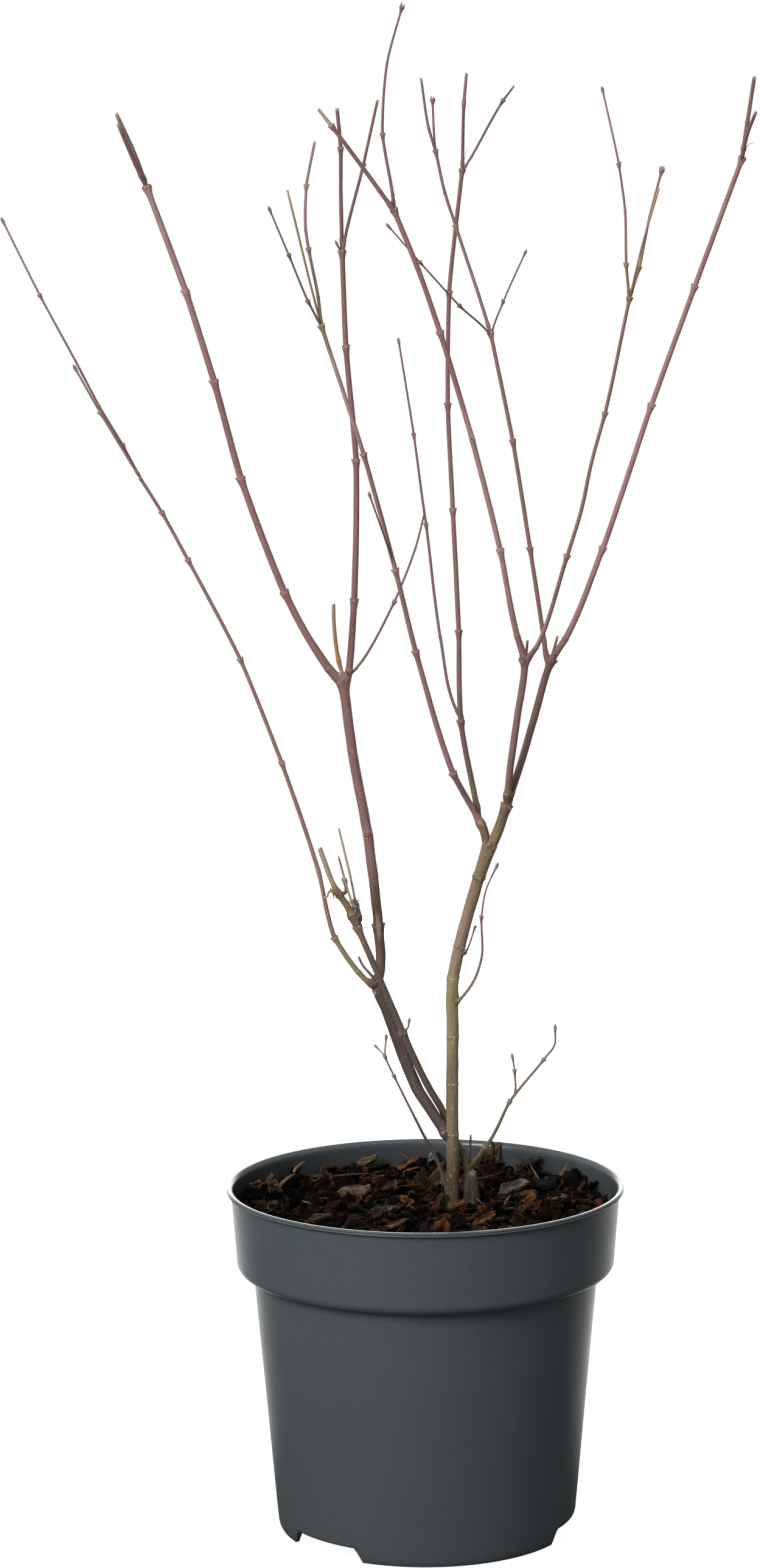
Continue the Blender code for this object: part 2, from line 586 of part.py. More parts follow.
def pot_notch(cutters):
    """A drain notch in the skirt: an upright trapezoid pushed out through the front wall."""
    outline = bpy.data.curves.new("notch_outline", "CURVE")
    outline.dimensions = "2D"
    outline.fill_mode = "BOTH"
    depth = 14.0
    outline.extrude = depth / 2 * MM
    line = outline.splines.new("POLY")
    slope = (NOTCH_FOOT_WIDTH - NOTCH_TOP_WIDTH) / 2 / NOTCH_HEIGHT
    below = 3.0
    corners = [(-NOTCH_FOOT_WIDTH / 2 - slope * below, -below),
               (NOTCH_FOOT_WIDTH / 2 + slope * below, -below),
               (NOTCH_TOP_WIDTH / 2, NOTCH_HEIGHT), (-NOTCH_TOP_WIDTH / 2, NOTCH_HEIGHT)]
    line.points.add(len(corners) - 1)
    for point, (across, up) in zip(line.points, corners):
        point.co = (across * MM, up * MM, 0, 1)
    line.use_cyclic_u = True
    flat = bpy.data.objects.new("notch_outline", outline)
    cutters.objects.link(flat)
    mesh = evaluated_mesh(flat)
    bpy.data.objects.remove(flat, do_unlink=True)
    weld(mesh)
    stand_up = Matrix.Rotation(radians(90), 4, "X")
    mesh.transform(Matrix.Translation((0, -(FOOT_RADIUS - 4.0) * MM, 0)) @ stand_up)
    return mesh


def soil_height(x, y):
    """Height in mm of the soil's surface: two sizes of lump about its mean height."""
    coarse = noise.noise(Vector((x / 26.0, y / 26.0, 3.1)))
    fine = noise.noise(Vector((x / 9.0, y / 9.0, 7.7)))
    return SOIL_Z + SOIL_ROUGHNESS * (coarse + 0.5 * fine)


def bark_chip(index, rng, group):
    """A flat splinter of bark: a box with every corner moved a little, laid on the soil."""
    distance = CHIP_REACH * rng.uniform(0.04, 1.0) ** 0.5
    angle = rng.uniform(0, 2 * pi)
    x, y = distance * cos(angle), distance * sin(angle)
    away = Vector((x - STEMS_CENTRE[0], y - STEMS_CENTRE[1]))
    if away.length < CHIP_CLEAR_OF_STEMS:
        return None
    cage = bmesh.new()
    bmesh.ops.create_cube(cage, size=1.0)
    size = Vector((rng.uniform(9, 20), rng.uniform(6, 11), rng.uniform(2.2, 4.2)))
    for corner in cage.verts:
        corner.co.x *= size.x * rng.uniform(0.7, 1.1)
        corner.co.y *= size.y * rng.uniform(0.6, 1.1)
        corner.co.z *= size.z * rng.uniform(0.6, 1.2)
    tilt = Matrix.Rotation(rng.uniform(-0.35, 0.35), 4, "X")
    tilt = tilt @ Matrix.Rotation(rng.uniform(-0.35, 0.35), 4, "Y")
    turn = Matrix.Rotation(rng.uniform(0, 2 * pi), 4, "Z")
    place = Matrix.Translation((x, y, soil_height(x, y) + rng.uniform(0.2, 1.4)))
    bmesh.ops.transform(cage, matrix=Matrix.Scale(MM, 4) @ place @ turn @ tilt, verts=cage.verts)
    mesh = bpy.data.meshes.new(f"chip_{index}")
    cage.to_mesh(mesh)
    cage.free()
    return mesh_object(f"chip_{index}", mesh, group)


def make_soil(parts, spare):
    """The soil that fills the pot, rough on top, with bark chips fused on."""
    wall = pot_inner_wall(GAP)[::-1]
    edge = collar_radius(SOIL_Z) - WALL - GAP
    top = [(0, SOIL_Z)] + [(radius, SOIL_Z) for radius in SOIL_RINGS]
    profile = top + [(edge, SOIL_Z)] + wall
    plug = turned("soil_plug", profile, POT_STEPS, spare)
    mesh = evaluated_mesh(plug)
    bpy.data.objects.remove(plug, do_unlink=True)
    for corner in mesh.vertices:
        x, y, z = (value / MM for value in corner.co)
        if z > SOIL_Z - 0.01:
            corner.co.z = soil_height(x, y) * MM
    plug = mesh_object("soil_plug", mesh, spare)
    rng = Random(11)
    chips = [bark_chip(index, rng, spare) for index in range(CHIP_COUNT)]
    soil = fuse("soil", [plug] + [chip for chip in chips if chip], spare, parts)
    finish(soil, SOIL_COLOUR, 0.95)
    return soil


def limb_start(plan, stems):
    if "foot" in plan:
        return (*plan["foot"], FOOT_Z)
    parent, distance = plan["grows_from"]
    return place_along(stems[parent]["points"], distance)


def make_limbs(parts, cutters):
    """The trunk, the second stem and the boughs, each cut back to clear those it grows from."""
    stems, sleeves = {}, {}
    caps = {plan["tip_of"]: cap_length(plan) for plan in TWIGS.values() if "tip_of" in plan}
    for name, plan in LIMBS.items():
        legs = shortened(plan["legs"], caps[name] / 2 + GAP) if name in caps else plan["legs"]
        stem = dict(points=trace(limb_start(plan, stems), legs), legs=legs,
                    thick=plan["thick"], flare=plan.get("flare", [(0, 1.0)]))
        stems[name] = stem
        rings = rings_of(stem)
        sides = plan.get("sides", 8)
        limb = tube(name, rings, sides, parts)
        sleeves[name] = as_cutter(tube(name + "_sleeve", rings, sides, cutters, grow=GAP))
        stem["piece"] = limb
        finish(limb, BARK.get(name, UPPER_BARK), 0.6)
    for name, plan in LIMBS.items():
        if "grows_from" in plan:
            for other in [plan["grows_from"][0]] + plan.get("also_clear_of", []):
                add_boolean(stems[name]["piece"], "DIFFERENCE", sleeves[other])
    return stems, sleeves


def cap_length(plan):
    return CAP_STEM * plan.get("knob", 1.0)


def make_tip_twigs(name, plan, stems, rng, spare):
    """Shoots from the short swollen stem at a bough's last joint."""
    bough = stems[plan["tip_of"]]
    tip = bough["points"][-1]
    along = (tip - bough["points"][-2]).normalized()
    fat = bough["thick"][-1][1] / 2 * plan.get("knob", NODE)
    start = tip + along * GAP
    length = cap_length(plan)
    rings = [(start, fat * 0.86),
             (start + along * length * 0.5, fat),
             (start + along * length, fat * 0.72)]
    pieces = [tube(name, rings, 8, spare)]
    for side_plan in plan["shoots"]:
        pieces += grow_shoot(name, start + along * length * 0.5, side_plan, rng, spare)
    return pieces


def make_twigs(stems, sleeves, parts, spare, cutters):
    """Each twig mass, fused to one solid and cut back to clear the limb it grows beside."""
    for index, (name, plan) in enumerate(TWIGS.items()):
        rng = Random(100 + index)
        first = plan["shoots"][0]
        if "tip_of" in plan:
            pieces = make_tip_twigs(name, plan, stems, rng, spare)
            clear_of = []
        elif "beside" in plan:
            parent, distance = plan["beside"]
            start = place_along(stems[parent]["points"], distance)
            pieces = grow_shoot(name, start, first, rng, spare)
            clear_of = [parent]
        else:
            start = Vector((*plan["foot"], FOOT_Z))
            pieces = grow_shoot(name, start, first, rng, spare)
            clear_of = []
        if "tip_of" not in plan:
            points = trace(start, first["legs"])
            rings = rings_of(dict(points=points, legs=first["legs"], thick=first["thick"]))
            sleeves[name] = as_cutter(tube(name + "_sleeve", rings, 8, cutters, grow=GAP))
        mass = fuse(name, pieces, spare, parts)
        for other in clear_of + plan.get("also_clear_of", []):
            add_boolean(mass, "DIFFERENCE", sleeves[other])
        finish(mass, TWIG_BARK, 0.6)


def main():
    clear_scene()
    parts = new_collection("potted_maple")
    cutters = new_collection("cutters")
    spare = new_collection("spare")
    make_pot(parts, cutters)
    soil = make_soil(parts, spare)
    stems, sleeves = make_limbs(parts, cutters)
    make_twigs(stems, sleeves, parts, spare, cutters)
    for rooted in ("trunk", "second_stem", "left_foot_shoot"):
        add_boolean(soil, "DIFFERENCE", sleeves[rooted])
    bpy.data.collections.remove(spare)


main()
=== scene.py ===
import json
from math import pi, radians

import bpy
import numpy as np
from mathutils import Matrix

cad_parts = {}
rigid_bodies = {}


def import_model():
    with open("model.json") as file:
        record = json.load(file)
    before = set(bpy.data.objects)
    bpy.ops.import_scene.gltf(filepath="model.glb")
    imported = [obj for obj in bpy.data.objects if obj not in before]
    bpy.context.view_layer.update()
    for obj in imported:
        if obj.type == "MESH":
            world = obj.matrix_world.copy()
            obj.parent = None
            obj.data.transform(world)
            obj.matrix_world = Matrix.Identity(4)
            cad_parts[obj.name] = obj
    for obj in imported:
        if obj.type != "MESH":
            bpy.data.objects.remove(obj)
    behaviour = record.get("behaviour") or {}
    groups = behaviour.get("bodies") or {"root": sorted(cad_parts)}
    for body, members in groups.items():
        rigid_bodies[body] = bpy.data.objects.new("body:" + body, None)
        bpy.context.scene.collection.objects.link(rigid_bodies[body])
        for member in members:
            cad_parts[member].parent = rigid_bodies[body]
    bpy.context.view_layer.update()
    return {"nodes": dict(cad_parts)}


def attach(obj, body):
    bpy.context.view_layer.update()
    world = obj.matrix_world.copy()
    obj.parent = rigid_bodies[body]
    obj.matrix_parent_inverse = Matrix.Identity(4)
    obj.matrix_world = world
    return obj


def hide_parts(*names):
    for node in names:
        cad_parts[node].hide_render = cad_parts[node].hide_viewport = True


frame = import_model()
mm = 0.001
print("frame loaded,", len(frame["nodes"]), "nodes")


def meshFrom(name, points, quads, tris, layers, skin):
    # rows of corner numbers become faces, and every layer becomes a point attribute
    quads, tris = np.asarray(quads).reshape(-1, 4), np.asarray(tris).reshape(-1, 3)
    corners = np.concatenate([quads.ravel(), tris.ravel()])
    starts = np.concatenate([np.arange(len(quads)) * 4, 4 * len(quads) + np.arange(len(tris)) * 3])
    mesh = bpy.data.meshes.new(name)
    mesh.vertices.add(len(points))
    mesh.vertices.foreach_set("co", (np.asarray(points) * mm).astype(np.float32).ravel())
    mesh.loops.add(len(corners))
    mesh.loops.foreach_set("vertex_index", corners.astype(np.int32))
    mesh.polygons.add(len(starts))
    mesh.polygons.foreach_set("loop_start", starts.astype(np.int32))
    mesh.polygons.foreach_set("use_smooth", np.ones(len(starts), bool))
    mesh.update(calc_edges=True)
    for layer, values in layers.items():
        kind, field = {4: ("FLOAT_COLOR", "color"), 3: ("FLOAT_VECTOR", "vector"),
                       1: ("FLOAT", "value")}[values.shape[-1]]
        spot = mesh.attributes.new(layer, kind, "POINT")
        spot.data.foreach_set(field, values.astype(np.float32).ravel())
    mesh.materials.append(skin)
    piece = bpy.data.objects.new(name, mesh)
    bpy.context.scene.collection.objects.link(piece)
    return piece


def tubeFaces(rows, around):
    # quads between neighbouring rings, and a fan of triangles to a pole at either end
    low, here = np.arange(rows - 1)[:, None] * around, np.arange(around)[None]
    turn = (here + 1) % around
    quads = np.stack([low + here, low + turn, low + around + turn, low + around + here], -1)
    a, b, last = here[0], turn[0], (rows - 1) * around
    foot = np.stack([b, a, np.full(around, rows * around)], -1)
    tip = np.stack([a + last, b + last, np.full(around, rows * around + 1)], -1)
    return quads.reshape(-1, 4), np.concatenate([foot, tip])


def withPoles(values):
    # a (rows, around, n) array as a list of points, with the mean of both end rings added
    return np.concatenate([values.reshape(-1, values.shape[-1]),
                           values[0].mean(0)[None], values[-1].mean(0)[None]])


def joined(parts):
    # several (points, quads, tris, layers) sets as one
    points, quads, tris, count = [], [], [], 0
    for part in parts:
        points.append(part[0])
        quads.append(part[1] + count)
        tris.append(part[2] + count)
        count += len(part[0])
    layers = {key: np.concatenate([part[3][key] for part in parts]) for key in parts[0][3]}
    return np.concatenate(points), np.concatenate(quads), np.concatenate(tris), layers


def ringAngles(around):
    # even turns round a ring, in radians, as one row
    return np.arange(around)[None] * 2 * pi / around


def ringPoints(radius, angle, z):
    # (radius x cos angle, radius x sin angle, z)
    return np.stack([radius * np.cos(angle), radius * np.sin(angle), z + 0 * angle], -1)


def unit(way):
    # the same direction, one long
    return way / np.maximum(np.linalg.norm(way, axis=-1, keepdims=True), 1e-9)


def ripple(angle, along, dice, turns, waves, count=7):
    # a sum of sines, whole turns round the stem and any wave length along it, about -1 to 1
    total = 0.0
    for _ in range(count):
        whole = dice.integers(turns[0], turns[1] + 1)
        wave = 2 * pi / dice.uniform(*waves) * dice.choice([-1, 1])
        total = total + np.sin(whole * angle + wave * along + dice.uniform(0, 2 * pi))
    return total / np.sqrt(count)


def colour4(values):
    # colours with a full alpha
    return np.concatenate([values, np.ones(values.shape[:-1] + (1,))], -1)


def tube(points, tone, grain, flip=1, **others):
    # a closed surface over rings of points, with its bark tone, its grain and any other layer
    quads, tris = tubeFaces(*points.shape[:2])
    layers = dict(barkTone=colour4(tone), grain=grain, **others)
    return (withPoles(points), quads[:, ::flip], tris[:, ::flip],
            {key: withPoles(values) for key, values in layers.items()})


class nodeKit:
    # short ways to add nodes to a tree
    def __init__(self, tree):
        self.nodes, self.link = tree.nodes, tree.links.new

    def node(self, kind, **settings):
        made = self.nodes.new(kind)
        for key, value in settings.items():
            if key in made.inputs:
                made.inputs[key].default_value = value
            else:
                setattr(made, key, value)
        return made

    def fill(self, socket, value):
        # a number, a colour or the output of another node
        if isinstance(value, (int, float)):
            socket.default_value = value
        elif isinstance(value, tuple):
            socket.default_value = (*value, 1)
        else:
            self.link(value, socket)

    def feed(self, name, value):
        self.link(value, self.shader.inputs[name])

    def layer(self, name, output):
        return self.node("ShaderNodeAttribute", attribute_name=name).outputs[output]

    def place(self, output="Object"):
        return self.node("ShaderNodeTexCoord").outputs[output]

    def laidOn(self, vector, kind, **settings):
        made = self.node(kind, **settings)
        self.link(vector, made.inputs["Vector"])
        return made.outputs

    def parted(self, vector):
        return self.laidOn(vector, "ShaderNodeSeparateXYZ")

    def stretched(self, vector, stretch):
        return self.laidOn(vector, "ShaderNodeMapping", Scale=stretch)[0]

    def noise(self, vector, stretch, detail=3.0, rough=0.55):
        return self.laidOn(self.stretched(vector, stretch), "ShaderNodeTexNoise", Scale=1.0,
                           Detail=detail, Roughness=rough)["Fac"]

    def cells(self, vector, scale):
        return self.laidOn(vector, "ShaderNodeTexVoronoi", Scale=scale, Randomness=1.0)["Distance"]

    def span(self, value, low, high, least=0.0, most=1.0):
        made = self.node("ShaderNodeMapRange", **{"From Min": low, "From Max": high,
                                                  "To Min": least, "To Max": most})
        self.link(value, made.inputs["Value"])
        return made.outputs["Result"]

    def math(self, operation, *values):
        made = self.node("ShaderNodeMath", operation=operation)
        for socket, value in zip(made.inputs, values):
            self.fill(socket, value)
        return made.outputs[0]

    def plus(self, one, two):
        return self.math("ADD", one, two)

    def times(self, first, *others):
        for other in others:
            first = self.math("MULTIPLY", first, other)
        return first

    def mix(self, share, one, two, kind="MIX"):
        made = self.node("ShaderNodeMix", data_type="RGBA", blend_type=kind)
        for number, value in ((0, share), (6, one), (7, two)):
            self.fill(made.inputs[number], value)
        return made.outputs[2]

    def grey(self, value):
        made = self.node("ShaderNodeCombineColor")
        for socket in made.inputs:
            self.link(value, socket)
        return made.outputs[0]

    def shaded(self, colour, shade):
        return self.mix(1.0, colour, self.grey(shade), "MULTIPLY")

    def bump(self, height, distance, strength):
        made = self.node("ShaderNodeBump", Strength=strength, Distance=distance)
        self.link(height, made.inputs["Height"])
        self.feed("Normal", made.outputs[0])


def newSkin(name, roughness, specular):
    skin = bpy.data.materials.new(name)
    skin.use_nodes = True
    kit = nodeKit(skin.node_tree)
    kit.skin, kit.shader = skin, kit.nodes["Principled BSDF"]
    kit.shader.inputs["Roughness"].default_value = roughness
    kit.shader.inputs["Specular IOR Level"].default_value = specular
    return kit


# stretches are cells per millimetre across the stem, across it and along it
barkFinish = dict(
    streak=(1.5, 1.5, 0.11), streakDepth=0.22, fine=(3.6, 3.6, 0.75), wrinkle=0.34,
    bloom=(0.30, 0.245, 0.225), bloomPatch=(0.30, 0.30, 0.055), bloomShare=0.20, bloomTint=0.45,
    fleck=(0.42, 0.35, 0.26), fleckSize=(0.75, 0.75, 0.42), fleckGroup=(0.5, 0.5, 0.2),
    pith=(0.50, 0.40, 0.29), woodRim=(0.16, 0.10, 0.06), woodRings=(3.0, 3.0, 0.1),
    specular=0.16, bumpDepth=0.00035, bumpStrength=0.8)


def barkSkin(name, roughness, **changes):
    # stem tone x lengthwise streaks, grey bloom in patches, cream flecks, pale wood where cut
    finish = dict(barkFinish, **changes)
    kit = newSkin(name, roughness, finish["specular"])
    tone, grain = kit.layer("barkTone", "Color"), kit.layer("grain", "Vector")
    streak = kit.noise(grain, finish["streak"], detail=4.0)
    fine = kit.noise(grain, finish["fine"], detail=4.0, rough=0.65)
    depth, wrinkle = finish["streakDepth"], finish["wrinkle"]
    shade = kit.times(kit.span(streak, 0.3, 0.7, 1 - depth, 1 + depth),
                      kit.span(fine, 0.3, 0.7, 1 - wrinkle, 1 + wrinkle))
    patch = kit.noise(grain, finish["bloomPatch"])
    colour = kit.mix(kit.span(patch, 0.46, 0.68, 0.0, finish["bloomShare"]),
                     kit.shaded(tone, shade), kit.mix(finish["bloomTint"], tone, finish["bloom"]))
    cells = kit.cells(kit.stretched(grain, finish["fleckSize"]), 1.0)
    spot = kit.times(kit.span(cells, 0.20, 0.10),
                     kit.span(kit.noise(grain, finish["fleckGroup"]), 0.50, 0.60))
    colour = kit.mix(kit.times(spot, 0.7), colour, finish["fleck"])
    rings = kit.span(kit.noise(grain, finish["woodRings"]), 0.35, 0.65)
    wood = kit.mix(rings, finish["woodRim"], finish["pith"])
    kit.feed("Base Color", kit.mix(kit.layer("cutFace", "Fac"), colour, wood))
    relief = kit.plus(kit.times(streak, 0.8), kit.times(spot, 0.25))
    kit.bump(kit.plus(relief, kit.times(fine, 0.9)), finish["bumpDepth"], finish["bumpStrength"])
    kit.feed("Roughness", kit.span(streak, 0.3, 0.7, roughness - 0.07, roughness + 0.10))
    return kit.skin


limbSkin = barkSkin("limb bark", 0.55)
twigSkin = barkSkin("twig bark", 0.50, wrinkle=0.20, bloomShare=0.16)
budSkin = barkSkin("bud scales", 0.42, wrinkle=0.12, bloomShare=0.1)

# Every stem is a row. Lengths are millimetres along it, leans are degrees from upright.
# legs: (length, lean right, lean away, joint at the end), a plain bend where no joint is named
# thick: {mm along: mm across}, flare: {mm along: factor}, tones: {mm along: tone name}
# knots: (mm along, length, rise, side in degrees or None for all round, crowded buds)
# marks: (mm along, side in degrees, length, width, tone name, rise)
# grows: (parent, mm along it), below: how far under that the fork begins to part
# turns: {leg number: turn of its buds}, over: mm past the tip, spread and swell: widening of the
# tip and of the base, pale: length of the bleached end, ends: fist, node, cut, bud or pair
barkGain = 0.80                             # darkens every stem tone alike
barkTones = {
    "moss": (0.031, 0.031, 0.013), "mossLight": (0.112, 0.104, 0.044),
    "trunkFoot": (0.068, 0.049, 0.03), "trunkLow": (0.094, 0.064, 0.037),
    "trunkWarm": (0.232, 0.19, 0.122), "trunkMid": (0.235, 0.187, 0.12),
    "trunkHigh": (0.36, 0.285, 0.165), "trunkPink": (0.318, 0.232, 0.155),
    "trunkTop": (0.258, 0.18, 0.107), "lichen": (0.305, 0.28, 0.1),
    "trunkGreen": (0.29, 0.245, 0.12), "flake": (0.56, 0.42, 0.29),
    "hookBrown": (0.26, 0.125, 0.07), "bareWood": (0.19, 0.115, 0.088),
    # the stump's moss tone is darkened further: painted shade at the foot of the stems
    "stumpMoss": (0.04, 0.041, 0.018), "forkBrown": (0.175, 0.11, 0.078),
    "stemMoss": (0.15, 0.135, 0.08), "stemGrey": (0.145, 0.112, 0.097),
    "stemBrown": (0.145, 0.102, 0.082), "stemPale": (0.215, 0.145, 0.11),
    "boughDark": (0.098, 0.069, 0.064), "boughUmber": (0.083, 0.053, 0.049),
    "boughRed": (0.168, 0.102, 0.08), "boughRose": (0.278, 0.172, 0.154),
    "boughPink": (0.282, 0.153, 0.143), "boughTop": (0.262, 0.139, 0.132),
    "outerLow": (0.31, 0.165, 0.152), "outerHigh": (0.365, 0.218, 0.212),
    "innerLow": (0.222, 0.118, 0.108), "innerRose": (0.25, 0.128, 0.122),
    "whipGreen": (0.38, 0.29, 0.16), "whipRose": (0.41, 0.232, 0.218),
    "whipHigh": (0.39, 0.228, 0.22), "upperDark": (0.215, 0.138, 0.134),
    "upperBrown": (0.24, 0.138, 0.129), "upperRose": (0.325, 0.18, 0.172),
    "upperPink": (0.345, 0.2, 0.192), "backLow": (0.2, 0.112, 0.108),
    "backRose": (0.245, 0.132, 0.13), "backHigh": (0.232, 0.118, 0.114),
    "frontRose": (0.345, 0.184, 0.174), "mauve": (0.3, 0.157, 0.147), "tipDark": (0.182, 0.1, 0.1),
    "tipRose": (0.225, 0.128, 0.124), "tipPale": (0.3, 0.185, 0.178),
    "tanOrange": (0.5, 0.25, 0.115), "paleStub": (0.43, 0.34, 0.26), "deadGrey": (0.23, 0.18, 0.14),
    "scarBrown": (0.23, 0.165, 0.12), "olive": (0.255, 0.185, 0.092), "scar": (0.56, 0.43, 0.31),
    "wart": (0.12, 0.058, 0.036), "knot": (0.118, 0.07, 0.055), "stickTan": (0.48, 0.37, 0.27),
    "oliveBrown": (0.215, 0.16, 0.092), "outerMid": (0.345, 0.19, 0.175),
    "outerTop": (0.385, 0.255, 0.25), "whipTan": (0.45, 0.274, 0.23),
    "upperTop": (0.425, 0.29, 0.282), "midRose": (0.395, 0.232, 0.22),
    "tanOlive": (0.33, 0.222, 0.125), "footGrey": (0.092, 0.064, 0.05),
    "twigGrey": (0.205, 0.155, 0.128), "twigGreen": (0.19, 0.175, 0.105),
    "twigPale": (0.275, 0.205, 0.16)}
footZ = 186.0                               # height of the soil at the stems
# how straight a stem runs through each kind of joint: 0 is a full curve, 1 a sharp corner
stiffness = {"bend": 0.0, "ring": 0.30, "node": 0.45, "band": 0.30, "leave": 0.60}

